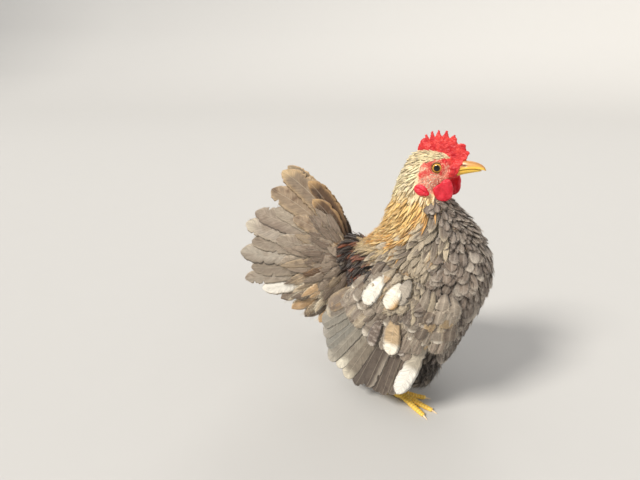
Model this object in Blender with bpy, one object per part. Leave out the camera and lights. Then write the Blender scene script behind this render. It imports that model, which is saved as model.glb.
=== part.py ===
# A serama chicken, life size, standing with its wings held straight down and its tail raised.
# It faces +X, its left side is +Y, and its soles rest on z = 0. Lengths are in metres.
import math
import random

import bmesh
import bpy
from mathutils import Matrix, Vector

MM = 0.001
GAP = 0.3 * MM  # left between touching pieces
WELD = 0.0001 * MM
SEED = 11

# Trunk, neck and head are one skin of level slices: height, back, front and half width in mm.
SLICES = (
    (34.0, -12.0, 24.0, 12.0),
    (42.0, -25.0, 33.0, 24.0),
    (52.0, -35.0, 38.0, 31.5),
    (66.0, -44.0, 43.0, 38.0),
    (82.0, -51.0, 49.5, 42.0),
    (98.0, -55.0, 55.0, 43.5),
    (112.0, -55.0, 58.5, 43.0),
    (124.0, -50.0, 58.0, 40.5),
    (134.0, -40.0, 56.0, 36.0),
    (144.0, -31.0, 51.5, 30.5),
    (154.0, -27.0, 44.5, 25.5),
    (163.0, -24.5, 35.0, 21.0),
    (172.0, -22.8, 25.0, 17.5),
    (180.0, -20.3, 19.0, 14.5),
    (187.0, -17.3, 19.5, 12.5),
    (193.0, -14.6, 22.0, 12.0),
    (199.0, -12.3, 24.0, 11.3),
    (204.0, -9.3, 22.5, 9.0),
    (208.0, -5.0, 16.0, 5.0),
)
TRUNK_POWER = 2.3  # over 2 makes a slice fuller than an ellipse
HEAD_POWER = 2.0
NECK_LOW = 150 * MM  # the power falls from the trunk's to the head's from here
NECK_BLEND = 30 * MM
SKIN_POLES = ((6.0, 3.0), (5.5, 1.5))  # x of the lowest and highest point, and their reach, in mm
SKIN_SIDES = 28
SKIN_RINGS = 26

# The thin cuts that part the skin: two (x, z) points on each plane.
HEAD_CUT = ((-21 * MM, 184 * MM), (20 * MM, 179 * MM))
NECK_CUT = ((-30 * MM, 141 * MM), (28 * MM, 168 * MM))

EYE_AT = Vector((12.8, 10.2, 198.0)) * MM
EYE_RADIUS = 4.4 * MM
EYE_DEPTH = 3.0 * MM  # the ball's centre under the cheek
LID_RING = 3.9 * MM
LID_RADIUS = 0.8 * MM
LID_FACING = (0.22, 1.0, 0.02)
LID_STRETCH = (1.08, 0.94)  # its length and height over a circle's
LID_PROUD = 0.2 * MM

# Bill: station, mouth line, ridge, keel of the lower half and half width, in mm.
BILL = (
    (17.0, 190.5, 201.0, 187.5, 7.0),
    (21.0, 193.0, 202.3, 189.2, 6.4),
    (25.5, 195.6, 203.0, 191.6, 5.4),
    (31.0, 197.5, 203.5, 193.8, 4.3),
    (36.5, 198.4, 203.2, 195.4, 3.4),
    (41.0, 198.4, 202.0, 196.4, 2.4),
    (44.0, 197.9, 200.2, 197.0, 1.2),
)
UPPER_TIP = Vector((45.4, 0, 197.6)) * MM
LOWER_TIP = Vector((42.6, 0, 197.2)) * MM
BILL_PART = 0.15  # from the mouth line to either half, in mm
BILL_ROUND = 0.8  # under 1 makes a section fuller than an ellipse
LOWER_NARROW = 0.86  # width of the lower half over the upper's
BILL_STEPS = 10
BILL_SIDES = 8
NOSTRIL = Vector((29.0, 4.6, 200.6)) * MM
NOSTRIL_SIZE = Vector((1.9, 1.1, 0.75)) * MM

# Comb: the base runs over the crown, and the points stand on a rounded blade. (x, z) in mm.
COMB_BASE = ((-3.0, 206.0), (4.0, 206.5), (12.0, 205.5), (20.0, 202.5), (27.0, 199.5))
COMB_EDGE = ((-4.6, 209.5), (0.5, 219.5), (9.0, 223.8), (20.0, 222.0), (32.5, 211.5), (31.0, 203.0))
COMB_POINTS = 6
COMB_NOTCH = 0.34
COMB_COLUMNS = 4  # in each point
COMB_THICK = (3.1, 2.2, 0.8)  # half thickness at the base, middle and edge, in mm
COMB_WAVE = (0.35, 17.0)  # how far the blade strays sideways in mm, and how often
COMB_END = 0.55  # how deep the blade is notched at its ends

WATTLE_AT = Vector((21.5, 10.6, 184.0)) * MM
WATTLE_SIZE = Vector((6.8, 1.9, 8.6)) * MM
WATTLE_TURN = (-14, 8)  # degrees about the side axis and the long axis
EARLOBE_AT = Vector((5.8, 14.2, 180.5)) * MM
EARLOBE_SIZE = Vector((5.6, 1.6, 3.6)) * MM
EARLOBE_TURN = (-28, -6)

# Feathers: share of the length, and the share of the full width there.
LONG_FEATHER = ((0.0, 0.34), (0.3, 0.84), (0.66, 1.0), (0.9, 0.80), (1.0, 0.26))
SHORT_FEATHER = ((0.0, 0.46), (0.45, 0.95), (0.82, 0.88), (1.0, 0.30))
NECK_FEATHER = ((0.0, 0.6), (0.5, 1.0), (0.8, 0.8), (1.0, 0.24))
FEATHER_THICK = 0.5 * MM
FEATHER_TIP_THICK = 0.34 * MM
FEATHER_CAMBER = 0.18 * MM  # the shaft stands this much proud of the edges
SHINGLE = 1.05 * MM  # from one feather to the next that it lies on
LEAST_PITCH = 2.4 * MM
FEATHER_SET = 0.4  # share of the length over which a feather rises to its place
STRAY = 0.03  # how far lengths vary

# Wing: a curved sheet outside the trunk. It carries an arm and three tiers of feathers.
WING_SWELL = 3.6 * MM
WING_X0 = 2 * MM
WING_FRONT = 52 * MM
WING_REAR = 86 * MM
WING_WIDEST = 100 * MM
WING_INSET = 0.06  # how fast the hanging part leans in
WING_TURN = 0.97  # how much of the way round to its front or rear end the sheet goes
ELBOW = Vector((-22, 112)) * MM  # (x, z), where the rearmost flight feather roots
WRIST = Vector((30, 88)) * MM
ARM_CENTRE = 28 * MM  # along the line of roots, from the elbow
ARM_RISE = 8 * MM
ARM_LENGTH = 36 * MM
ARM_HEIGHT = 17 * MM
ARM_RINGS = ((0.45, 6.0), (0.8, 4.7), (1.0, 1.7), (1.0, -0.9), (0.8, -4.5), (0.45, -6.5))
ARM_POLES = (6.6, -8.0)
ARM_SIDES = 18
FLIGHTS = 13
FLIGHT_TIPS = (
    (-62, 77), (-72, 54), (-64, 33), (-45, 18), (-20, 11.5), (3.5, 17), (19, 31), (29, 47),
)
FLIGHT_WIDTH = 16 * MM
# Coverts: count, rise of their roots over the flights', length, width, lift at root and tip, in mm.
COVERTS = (
    (9, 9.0, 34.0, 14.0, 2.6, 3.3),
    (8, 16.5, 25.0, 13.0, 3.6, 6.0),
)

# Tail: a tent of feathers from the rump, upper ones outside. Elevation and the way out in degrees.
TAIL_ROOT = Vector((-52, 3.2, 110)) * MM
TAIL_OUT = (
    (-75, 10), (-60, 15), (-45, 22), (-20, 27), (1, 23), (17, 15), (33, 6), (44, 2.5), (58, 1.5), (75, 1.5),
)
TAIL_START = 13 * MM
# Elevation, length in mm, width in mm and bend in mm of each tail feather, from the top.
TAIL_FEATHERS = (
    (54, 80, 15, 5.0),
    (43, 100, 17, 8.0),
    (33, 97, 16, 5.0),
    (25, 98, 16, 3.0),
    (17, 99, 16, 2.0),
    (9, 98, 16, 1.0),
    (1, 98, 17, 0.0),
    (-9, 90, 17, -1.0),
    (-20, 80, 16, -2.0),
)
TAIL_COVERTS = (
    (50, 46, 13, 2.0), (37, 48, 14, 2.0), (24, 48, 14, 1.0), (11, 47, 14, 0.0), (-3, 44, 14, 0.0),
)
TAIL_COVERT_LIFT = (1.2, 2.9)  # at root and tip, in mm
UNDER_TAIL = ((-33, 70, 13, -2.0), (-44, 69, 13, -3.0), (-55, 69, 13, -3.0), (-66, 66, 12, -3.0))
RUMP_RINGS = ((6, 3.6, 0.0), (12, 3.4, 0.0), (20, 2.5, 0.0), (28, 1.1, 0.45), (35, -0.3, 0.93))
RUMP_ELEVATIONS = (-72, -56, -40, -24, -8, 8, 24, 40, 52, 64)
RUMP_REACH = 16 * MM  # how far the rump's first ring sits inside the trunk

# Hackle: tiers round the neck, each a count, root and tip heights over the neck's cut, and lift, in mm.
HACKLE = ((20, 13.0, -8.5, 1.5, 10.6), (18, 25.0, 5.0, 2.7, 9.6))
HACKLE_ROOT_LIFT = -0.9 * MM
HACKLE_FORWARD = 0.10  # how far a feather leans to the front on its way down, in radians
HACKLE_OVERLAP = 1.15  # a feather's width over the distance to the next one
HACKLE_MARGIN = 3.5  # least height of the head's cut over a root, in mm

# Thigh as level slices: height, back, front and half width in mm.
THIGH_SLICES = (
    (76.0, -15.0, 33.0, 15.0),
    (62.0, -16.0, 34.0, 15.0),
    (50.0, -16.0, 33.5, 14.5),
    (41.0, -14.0, 32.0, 13.5),
    (33.0, -8.0, 29.5, 11.5),
    (26.0, -2.0, 26.0, 9.5),
    (20.5, 4.0, 21.5, 6.5),
)
THIGH_Y = 20 * MM
THIGH_FOLLOW = 0.5  # how far the thigh goes with its foot's step
THIGH_SIDES = 18

HOCK = Vector((-9, 20, 46)) * MM
ANKLE = Vector((-2, 18, 9)) * MM
SHANK_RADIUS = 3.5 * MM
SHANK_ENDS = 1.12  # radius at the joints over SHANK_RADIUS
SHANK_WAIST = 0.2
SHANK_DEPTH = 0.88  # its other width over the one across
SHANK_SIDES = 8
SHANK_PLATES = 6
PLATE = ((0.06, 0.0), (0.5, 0.45), (0.92, 0.3))  # share of a plate's length, and its rise in mm
STEP_BACK = Vector((-21, 0, 0)) * MM  # the left foot stands behind the right one
PAD = Vector((-1, 17, 4)) * MM
PAD_SIZE = Vector((5.6, 5.0, 4.6)) * MM
# Toes: name, turn outwards in degrees, length without the claw in mm and number of top plates.
TOES = (("inner", -20, 21.0, 4), ("middle", 9, 30.0, 6), ("outer", 28, 29.0, 6), ("hind", 172, 13.0, 3))
TOE_RADIUS = 2.9 * MM
TOE_TAPER = 0.36
TOE_PLATE = (0.94, 1.08)  # radius behind and on each plate
TOE_ARCH = 1.4 * MM
TOE_SQUASH = 0.86  # height of the centre line over the radius
TOE_SIDES = 6
CLAW_LENGTH = 7.5 * MM
CLAW_RADII = (1.35, 0.35)  # at root and tip, in mm
CLAW_SUNK = 0.16  # share of the length inside the toe
CLAW_STEPS = (0.0, 0.35, 0.7, 1.0)
CLAW_DROP = 0.78  # fall of the tip over the height of the toe's end
CLAW_SIDES = 6

RED = (0.62, 0.02, 0.03)
BUFF = (0.62, 0.36, 0.12)
SLATE = (0.22, 0.19, 0.17)
PALE = (0.45, 0.39, 0.33)
HORN = (0.75, 0.47, 0.12)
YELLOW = (0.80, 0.42, 0.03)
AMBER = (0.55, 0.22, 0.03)


def material(name, colour, roughness):
    made = bpy.data.materials.new(name)
    made.use_nodes = True
    shader = made.node_tree.nodes["Principled BSDF"]
    shader.inputs["Base Color"].default_value = (*colour, 1.0)
    shader.inputs["Roughness"].default_value = roughness
    shader.inputs["Metallic"].default_value = 0.0
    return made


def mixed(a, b, share):
    return a + (b - a) * share


def side_name(part, side):
    return part + ("_left" if side > 0 else "_right")


def mirrored(point, side):
    return Vector((point.x, side * point.y, point.z))


def smooth_value(table, at, column):
    """A smooth curve through one column of a table whose first column is the position."""
    low = 0
    while low < len(table) - 2 and at > table[low + 1][0]:
        low += 1
    rows = [table[max(0, min(len(table) - 1, low + k))] for k in (-1, 0, 1, 2)]
    span = rows[2][0] - rows[1][0]
    share = max(0.0, min(1.0, (at - rows[1][0]) / span))

    def slope(before, after):
        return (after[column] - before[column]) / (after[0] - before[0]) * span

    start, end = slope(rows[0], rows[2]), slope(rows[1], rows[3])
    s2, s3 = share * share, share**3
    return (
        rows[1][column] * (2 * s3 - 3 * s2 + 1)
        + rows[2][column] * (3 * s2 - 2 * s3)
        + start * (s3 - 2 * s2 + share)
        + end * (s3 - s2)
    )


def along_line(line, share):
    """A point at a share of an open line of (x, z) pairs, on a smooth curve."""
    table = [(i, x, z) for i, (x, z) in enumerate(line)]
    at = share * (len(line) - 1)
    return Vector((smooth_value(table, at, 1), smooth_value(table, at, 2)))


def mesh_object(name, points, faces, finish=None):
    """One closed mesh with its faces turned outwards."""
    mesh = bpy.data.meshes.new(name)
    mesh.from_pydata([tuple(p) for p in points], [], faces)
    shape = bmesh.new()
    shape.from_mesh(mesh)
    bmesh.ops.recalc_face_normals(shape, faces=shape.faces)
    shape.to_mesh(mesh)
    shape.free()
    if finish:
        mesh.materials.append(finish)
    made = bpy.data.objects.new(name, mesh)
    bpy.context.scene.collection.objects.link(made)
    return made


def loft(name, rings, finish=None, poles=None):
    """Rings of equal count joined in order, closed by a pole beyond each end."""
    count = len(rings[0])
    points = [p for ring in rings for p in ring] + list(poles)
    first_pole, last_pole = len(points) - 2, len(points) - 1
    last = (len(rings) - 1) * count
    faces = []
    for j in range(count):
        k = (j + 1) % count
        for a in range(0, last, count):
            faces.append((a + j, a + k, a + count + k, a + count + j))
        faces.append((first_pole, k, j))
        faces.append((last_pole, last + j, last + k))
    return mesh_object(name, points, faces, finish)


def ellipsoid(name, centre, radii, finish=None, sides=16, rings=9, turn=None):
    shape = bmesh.new()
    bmesh.ops.create_uvsphere(shape, u_segments=sides, v_segments=rings, radius=1.0)
    matrix = Matrix.Translation(centre) @ (turn or Matrix.Identity(4)) @ Matrix.Diagonal((*radii, 1))
    bmesh.ops.transform(shape, matrix=matrix, verts=shape.verts)
    mesh = bpy.data.meshes.new(name)
    shape.to_mesh(mesh)
    shape.free()
    if finish:
        mesh.materials.append(finish)
    made = bpy.data.objects.new(name, mesh)
    bpy.context.scene.collection.objects.link(made)
    return made


def tube(name, line, radii, sides, finish=None, squash=1.0, across=None, nose=0.3):
    """A tube of changing radius along a line, closed by a pole at each end."""
    rings = []
    for i, centre in enumerate(line):
        after, before = line[min(i + 1, len(line) - 1)], line[max(i - 1, 0)]
        along = (after - before).normalized()
        side = (across or along.cross(Vector((0, 0, 1)))).normalized()
        up = side.cross(along).normalized()
        turns = [2 * math.pi * j / sides for j in range(sides)]
        rings.append([
            centre + (side * math.cos(turn) + up * squash * math.sin(turn)) * radii[i] for turn in turns
        ])
    start = line[0] + (line[0] - line[1]).normalized() * radii[0] * nose
    end = line[-1] + (line[-1] - line[-2]).normalized() * radii[-1] * nose
    return loft(name, rings, finish, (start, end))


def applied(thing):
    """Replaces a mesh by what its modifiers make of it."""
    graph = bpy.context.evaluated_depsgraph_get()
    made = bpy.data.meshes.new_from_object(thing.evaluated_get(graph))
    thing.modifiers.clear()
    thing.data = made
    return thing


def cut_by(thing, cutter):
    """Takes a closed cutter out of thing, removes it, and keeps the largest surface."""
    step = thing.modifiers.new("cut", "BOOLEAN")
    step.operation = "DIFFERENCE"
    step.solver = "EXACT"
    step.object = cutter
    applied(thing)
    bpy.data.objects.remove(cutter)
    return keep_largest(thing)


def triangulated(thing):
    shape = bmesh.new()
    shape.from_mesh(thing.data)
    bmesh.ops.triangulate(shape, faces=shape.faces)
    shape.to_mesh(thing.data)
    shape.free()
    return thing


def fused(thing, pieces):
    """One union of thing with a collection of closed pieces, which are then removed."""
    group = bpy.data.collections.new("pieces of " + thing.name)
    bpy.context.scene.collection.children.link(group)
    triangulated(thing)
    for piece in pieces:
        triangulated(piece)
        bpy.context.scene.collection.objects.unlink(piece)
        group.objects.link(piece)
    step = thing.modifiers.new("union", "BOOLEAN")
    step.operation = "UNION"
    step.solver = "EXACT"
    step.operand_type = "COLLECTION"
    step.collection = group
    applied(thing)
    for piece in pieces:
        bpy.data.objects.remove(piece)
    bpy.data.collections.remove(group)
    return keep_largest(thing)


def islands(shape):
    """The faces of each connected surface."""
    left = set(shape.faces)
    found = []
    while left:
        todo = [left.pop()]
        island = list(todo)
        while todo:
            for edge in todo.pop().edges:
                fresh = [face for face in edge.link_faces if face in left]
                left.difference_update(fresh)
                todo.extend(fresh)
                island.extend(fresh)
        found.append(island)
    return found


def keep_largest(thing):
    """Drops all but the largest closed surface."""
    shape = bmesh.new()
    shape.from_mesh(thing.data)
    bmesh.ops.remove_doubles(shape, verts=shape.verts, dist=WELD)
    found = islands(shape)
    best = max(found, key=lambda island: sum(f.calc_area() for f in island))
    loose = [f for island in found if island is not best for f in island]
    bmesh.ops.delete(shape, geom=loose, context="FACES")
    bmesh.ops.triangulate(shape, faces=shape.faces)
    shape.to_mesh(thing.data)
    shape.free()
    return thing


def grown(thing, by=GAP):
    """Moves every vertex outwards along its normal."""
    for vertex in thing.data.vertices:
        vertex.co = vertex.co + vertex.normal * by
    return thing


def pressed_flat(thing):
    """Presses what would reach below the floor flat against it."""
    for vertex in thing.data.vertices:
        vertex.co.z = max(vertex.co.z, 0.0)
    return thing


def slice_at(height):
    """Centre, half length and half width of the skin's level slice, in metres."""
    back, front, half = (smooth_value(SLICES, height / MM, column) * MM for column in (1, 2, 3))
    return (back + front) / 2, (front - back) / 2, half


def skin_point(angle, height, lift=0.0):
    """A point of the skin at a turn round the body, 0 at the front, and a height."""
    centre, length, half = slice_at(height)
    share = max(0.0, min(1.0, (height - NECK_LOW) / NECK_BLEND))
    power = 2 / mixed(TRUNK_POWER, HEAD_POWER, share)
    c, s = math.cos(angle), math.sin(angle)
    x = centre + (length + lift) * math.copysign(abs(c) ** power, c)
    y = (half + lift) * math.copysign(abs(s) ** power, s)
    return Vector((x, y, height))


def skin(name="room", lift=GAP, finish=None):
    """The whole skin from belly to crown, or a copy grown by lift."""
    low, high = SLICES[0][0] * MM, SLICES[-1][0] * MM
    turns = [2 * math.pi * j / SKIN_SIDES for j in range(SKIN_SIDES)]
    heights = [mixed(low, high, i / (SKIN_RINGS - 1)) for i in range(SKIN_RINGS)]
    rings = [[skin_point(turn, height, lift) for turn in turns] for height in heights]
    (low_x, low_reach), (high_x, high_reach) = SKIN_POLES
    poles = (
        Vector((low_x * MM, 0, low - low_reach * MM - lift)),
        Vector((high_x * MM, 0, high + high_reach * MM + lift)),
    )
    return loft(name, rings, finish, poles)


def cut_height(ends, x):
    """Height of a cut through the skin at a place along the body."""
    (x0, z0), (x1, z1) = ends
    return mixed(z0, z1, (x - x0) / (x1 - x0))


def plane_cut(thing, ends, keep_above):
    """Removes one side of a cut, half a gap back from it, and closes the mesh."""
    (x0, z0), (x1, z1) = ends
    up = Vector((z0 - z1, 0, x1 - x0)).normalized()
    normal = -up if keep_above else up
    shape = bmesh.new()
    shape.from_mesh(thing.data)
    geometry = shape.verts[:] + shape.edges[:] + shape.faces[:]
    point = Vector((x0, 0, z0)) - normal * GAP / 2
    bmesh.ops.bisect_plane(
        shape, geom=geometry, dist=1e-7, plane_co=point, plane_no=normal, clear_outer=True
    )
    bmesh.ops.holes_fill(shape, edges=[e for e in shape.edges if e.is_boundary], sides=0)
    bmesh.ops.triangulate(shape, faces=shape.faces)
    bmesh.ops.recalc_face_normals(shape, faces=shape.faces)
    shape.to_mesh(thing.data)
    shape.free()
    return thing


def feather(place, width, tilt, lift, profile, ridged):
    """A closed thin vane. place(s, c, lift) gives a point at a share of its length, c to its side."""
    columns = (-1.0, 0.0, 1.0) if ridged else (-1.0, 1.0)
    count = len(columns)
    points, faces = [], []
    for s, spread in profile:
        thick = mixed(FEATHER_THICK, FEATHER_TIP_THICK, s * s) / 2
        for face in (thick, -thick):
            for column in columns:
                c = column * width * spread / 2
                crown = FEATHER_CAMBER * spread * (1 - abs(column))
                points.append(place(s, c, lift(s) + tilt(s) * c + crown + face))
    row = 2 * count
    last = row * (len(profile) - 1)
    for a in range(0, last, row):
        b = a + row
        for j in range(count - 1):
            for under in (0, count):
                i, k = under + j, under + j + 1
                faces += [(a + i, a + k, b + k), (a + i, b + k, b + i)]
        for j in (0, count - 1):
            faces += [(a + j, a + count + j, b + count + j), (a + j, b + count + j, b + j)]
    for a in (0, last):
        faces += [(a + j, a + j + 1, a + count + j + 1, a + count + j) for j in range(count - 1)]
    return mesh_object("feather", points, faces)


class Lie:
    """The centre line of a feather on a flat chart, from root to tip, with a bow to one side."""

    def __init__(self, root, tip, bow=0.0):
        self.root, self.tip, self.bow = root, tip, bow
        self.along = (tip - root).normalized()
        self.across = Vector((self.along.y, -self.along.x))

    def at(self, s, c=0.0):
        return self.root.lerp(self.tip, s) + self.across * (c + self.bow * 4 * s * (1 - s))


def pitch(lies, k, s):
    """Mean distance from a feather's centre line to its neighbours' at a share of the length."""
    near = [lies[j] for j in (k - 1, k + 1) if 0 <= j < len(lies)]
    return sum(abs((other.at(s) - lies[k].at(s)).dot(lies[k].across)) for other in near) / len(near)


def tier(surface, side, lies, widths, lifts, profile):
    """A row of overlapping feathers, each lying over the next. lifts are at root and tip, in mm."""
    made = []
    for k, lie in enumerate(lies):
        def place(s, c, lift, lie=lie):
            return surface(side, lie.at(s, c), lift)

        def tilt(s, k=k):
            return -SHINGLE / max(pitch(lies, k, s), LEAST_PITCH)

        def lift(s):
            return mixed(*lifts, min(1.0, s / FEATHER_SET)) * MM

        made.append(feather(place, widths[k], tilt, lift, profile, profile is LONG_FEATHER))
    return made


def off_surface(surface_y, side, at, lift):
    """A point off a sheet given as a half width over (x, z), lifted along the sheet's normal."""
    step = 0.5 * MM
    x, z = at
    dx = (surface_y(x + step, z) - surface_y(x - step, z)) / (2 * step)
    dz = (surface_y(x, z + step) - surface_y(x, z - step)) / (2 * step)
    normal = Vector((-dx, 1.0, -dz)).normalized()
    return mirrored(Vector((x, surface_y(x, z), z)) + normal * lift, side)


def wing_half_width(x, z):
    """Half width of the curved sheet that a folded wing lies in, by length and height."""
    half = slice_at(max(z, WING_WIDEST))[2] + WING_SWELL - WING_INSET * max(0.0, WING_WIDEST - z)
    reach = WING_FRONT if x > WING_X0 else WING_REAR
    share = min(WING_TURN, abs((x - WING_X0) / reach))
    return half * (1 - share**TRUNK_POWER) ** (1 / TRUNK_POWER)


def wing_surface(side, at, lift):
    return off_surface(wing_half_width, side, at, lift)


def arm(side, finish):
    """The fleshy arm and shoulder that the flight feathers and coverts root in."""
    along = (WRIST - ELBOW).normalized()
    down = Vector((along.y, -along.x))
    middle = ELBOW + along * ARM_CENTRE - down * ARM_RISE
    rings = []
    for size, lift in ARM_RINGS:
        ring = []
        for j in range(ARM_SIDES):
            turn = 2 * math.pi * j / ARM_SIDES
            at = middle + (along * math.cos(turn) * ARM_LENGTH + down * math.sin(turn) * ARM_HEIGHT) * size
            ring.append(wing_surface(side, at, lift * MM))
        rings.append(ring)
    poles = [wing_surface(side, middle, lift * MM) for lift in ARM_POLES]
    return cut_by(loft(side_name("wing", side), rings, finish, poles), skin())


def flight_lies(random_source):
    lies = []
    for k in range(FLIGHTS):
        share = k / (FLIGHTS - 1)
        root = ELBOW.lerp(WRIST, share)
        tip = along_line(FLIGHT_TIPS, share) * MM
        lies.append(Lie(root, tip + (tip - root) * random_source.uniform(-STRAY, STRAY)))
    return lies


def covert_lies(flights, count, rise, length, random_source):
    """Coverts follow the flight feathers under them, from roots higher up the arm."""
    along = (WRIST - ELBOW).normalized()
    up = Vector((-along.y, along.x))
    lies = []
    for k in range(count):
        share = k / (count - 1)
        under = flights[round(share * (FLIGHTS - 1))]
        root = ELBOW.lerp(WRIST, share) + up * rise * MM
        reach = length * MM * (1 + random_source.uniform(-STRAY, STRAY))
        lies.append(Lie(root, root + under.along * reach))
    return lies


def wing(side, finish):
    chance = random.Random(SEED)
    flights = flight_lies(chance)
    widths = [FLIGHT_WIDTH] * FLIGHTS
    feathers = tier(wing_surface, side, flights, widths, (0.0, 0.0), LONG_FEATHER)
    for count, rise, length, width, *lifts in COVERTS:
        lies = covert_lies(flights, count, rise, length, chance)
        feathers += tier(wing_surface, side, lies, [width * MM] * count, lifts, SHORT_FEATHER)
    return fused(arm(side, finish), feathers)


def tail_half_width(x, z):
    """Distance of the tail's tent from the middle plane, by (x, z) from the tail's root."""
    elevation = math.degrees(math.atan2(z, -x))
    return TAIL_ROOT.y + math.hypot(x, z) * math.sin(math.radians(smooth_value(TAIL_OUT, elevation, 1)))


def tail_surface(side, at, lift):
    root = Vector((TAIL_ROOT.x, 0, TAIL_ROOT.z))
    return off_surface(tail_half_width, side, at, lift) + root


def tail_lie(elevation, length, bow, start=TAIL_START):
    e = math.radians(elevation)
    ray = Vector((-math.cos(e), math.sin(e)))
    return Lie(ray * start, ray * length * MM, bow * MM)


def rump(side, finish):
    """The fleshy root of one half of the tail, a tent that thins out under the feathers."""
    count = len(RUMP_ELEVATIONS)
    points, faces = [], []
    for radius, lift, hollow in RUMP_RINGS:
        outer, inner = [], []
        for elevation in RUMP_ELEVATIONS:
            at = tail_lie(elevation, radius, 0.0).tip
            point = tail_surface(side, at, lift * MM)
            near = mixed(GAP / 2, abs(point.y), hollow)
            outer.append(point)
            inner.append(Vector((point.x, side * near, point.z)))
        if not points:
            points = [point + Vector((RUMP_REACH, 0, 0)) for point in outer + inner]
        points += outer + inner
    row = 2 * count
    last = len(points) - row
    for a in range(0, last, row):
        for start in (a, a + count):
            for j in range(start, start + count - 1):
                faces.append((j, j + 1, j + row + 1, j + row))
        for j in (a, a + count - 1):
            faces.append((j, j + count, j + row + count, j + row))
    for a in (0, last):
        faces += [(j, j + 1, j + 1 + count, j + count) for j in range(a, a + count - 1)]
    return cut_by(mesh_object(side_name("tail", side), points, faces, finish), skin())


def tail(side, finish):
    rows = (
        (TAIL_FEATHERS, (0.0, 0.0), LONG_FEATHER),
        (TAIL_COVERTS, TAIL_COVERT_LIFT, SHORT_FEATHER),
        (UNDER_TAIL, (0.0, 0.0), SHORT_FEATHER),
    )
    feathers = []
    for row, lifts, profile in rows:
        lies = [tail_lie(elevation, length, bow) for elevation, length, _, bow in row]
        widths = [width * MM for _, _, width, _ in row]
        feathers += tier(tail_surface, side, lies, widths, lifts, profile)
    return fused(rump(side, finish), feathers)


def hackle(neck):
    """Tiers of narrow feathers round the neck, hanging over its cut."""
    feathers = []
    for row, (count, root_rise, tip_rise, lift, width) in enumerate(HACKLE):
        for k in range(count):
            turn = 2 * math.pi * (k + row / 2) / count - math.pi
            x = skin_point(turn, cut_height(NECK_CUT, 0)).x
            cut = cut_height(NECK_CUT, x)
            if cut + (root_rise + HACKLE_MARGIN) * MM > cut_height(HEAD_CUT, x):
                continue

            def place(s, c, off, turn=turn, cut=cut):
                height = cut + mixed(root_rise, tip_rise, s) * MM
                _, length, half = slice_at(height)
                radius = math.hypot(length * math.sin(turn), half * math.cos(turn))
                lean = HACKLE_FORWARD * s * math.sin(turn)
                return skin_point(turn - lean + c / radius, height, off)

            def tilt(s):
                return SHINGLE * HACKLE_OVERLAP / (width * MM)

            def rise(s):
                return mixed(HACKLE_ROOT_LIFT, lift * MM, min(1.0, s / FEATHER_SET))

            feathers.append(feather(place, width * MM, tilt, rise, NECK_FEATHER, False))
    return fused(neck, feathers)


def eye_centre(side):
    return Vector((EYE_AT.x, side * (EYE_AT.y - EYE_DEPTH), EYE_AT.z))


def eye(name, side, finish=None):
    return ellipsoid(name, eye_centre(side), Vector((1, 1, 1)) * EYE_RADIUS, finish, 14, 9)


def lid_ring(side):
    """A rounded rim round the eye's opening."""
    centre = mirrored(EYE_AT, side) + Vector((0, side * LID_PROUD, 0))
    facing = mirrored(Vector(LID_FACING), side).normalized()
    right = facing.cross(Vector((0, 0, 1))).normalized()
    up = right.cross(facing).normalized()
    around, thick = 14, 4
    points, faces = [], []
    for i in range(around):
        turn = 2 * math.pi * i / around
        out = right * math.cos(turn) * LID_STRETCH[0] + up * math.sin(turn) * LID_STRETCH[1]
        for j in range(thick):
            roll = 2 * math.pi * j / thick
            round_off = out * math.cos(roll) + facing * math.sin(roll)
            points.append(centre + out * LID_RING + round_off * LID_RADIUS)
            a, b = i * thick, ((i + 1) % around) * thick
            k = (j + 1) % thick
            faces.append((a + j, b + j, b + k, a + k))
    return mesh_object("lid", points, faces)


def bill_half(name, upper, finish=None):
    """One half of the bill, arched away from a nearly flat mouth line."""
    first, last = BILL[0][0], (BILL[-1] if upper else BILL[-2])[0]
    rings = []
    for i in range(BILL_STEPS):
        at = mixed(first, last, i / (BILL_STEPS - 1))
        mouth, ridge, keel, half = (smooth_value(BILL, at, column) for column in (1, 2, 3, 4))
        flat = mouth + (BILL_PART if upper else -BILL_PART)
        top = ridge if upper else keel
        half = half if upper else half * LOWER_NARROW
        turns = [math.pi * j / BILL_SIDES for j in range(BILL_SIDES + 1)]
        rings.append([
            Vector((at, half * math.cos(turn), flat + (top - flat) * math.sin(turn) ** BILL_ROUND)) * MM
            for turn in turns
        ])
    start = Vector((first - 1.0, 0, (BILL[0][1] + BILL[0][2 if upper else 3]) / 2)) * MM
    return loft(name, rings, finish, (start, UPPER_TIP if upper else LOWER_TIP))


def bill(finish):
    upper = cut_by(bill_half("bill_upper", True, finish), skin())
    for side in (1, -1):
        cut_by(upper, ellipsoid("nostril", mirrored(NOSTRIL, side), NOSTRIL_SIZE, None, 8, 6))
    cut_by(bill_half("bill_lower", False, finish), skin())


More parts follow.
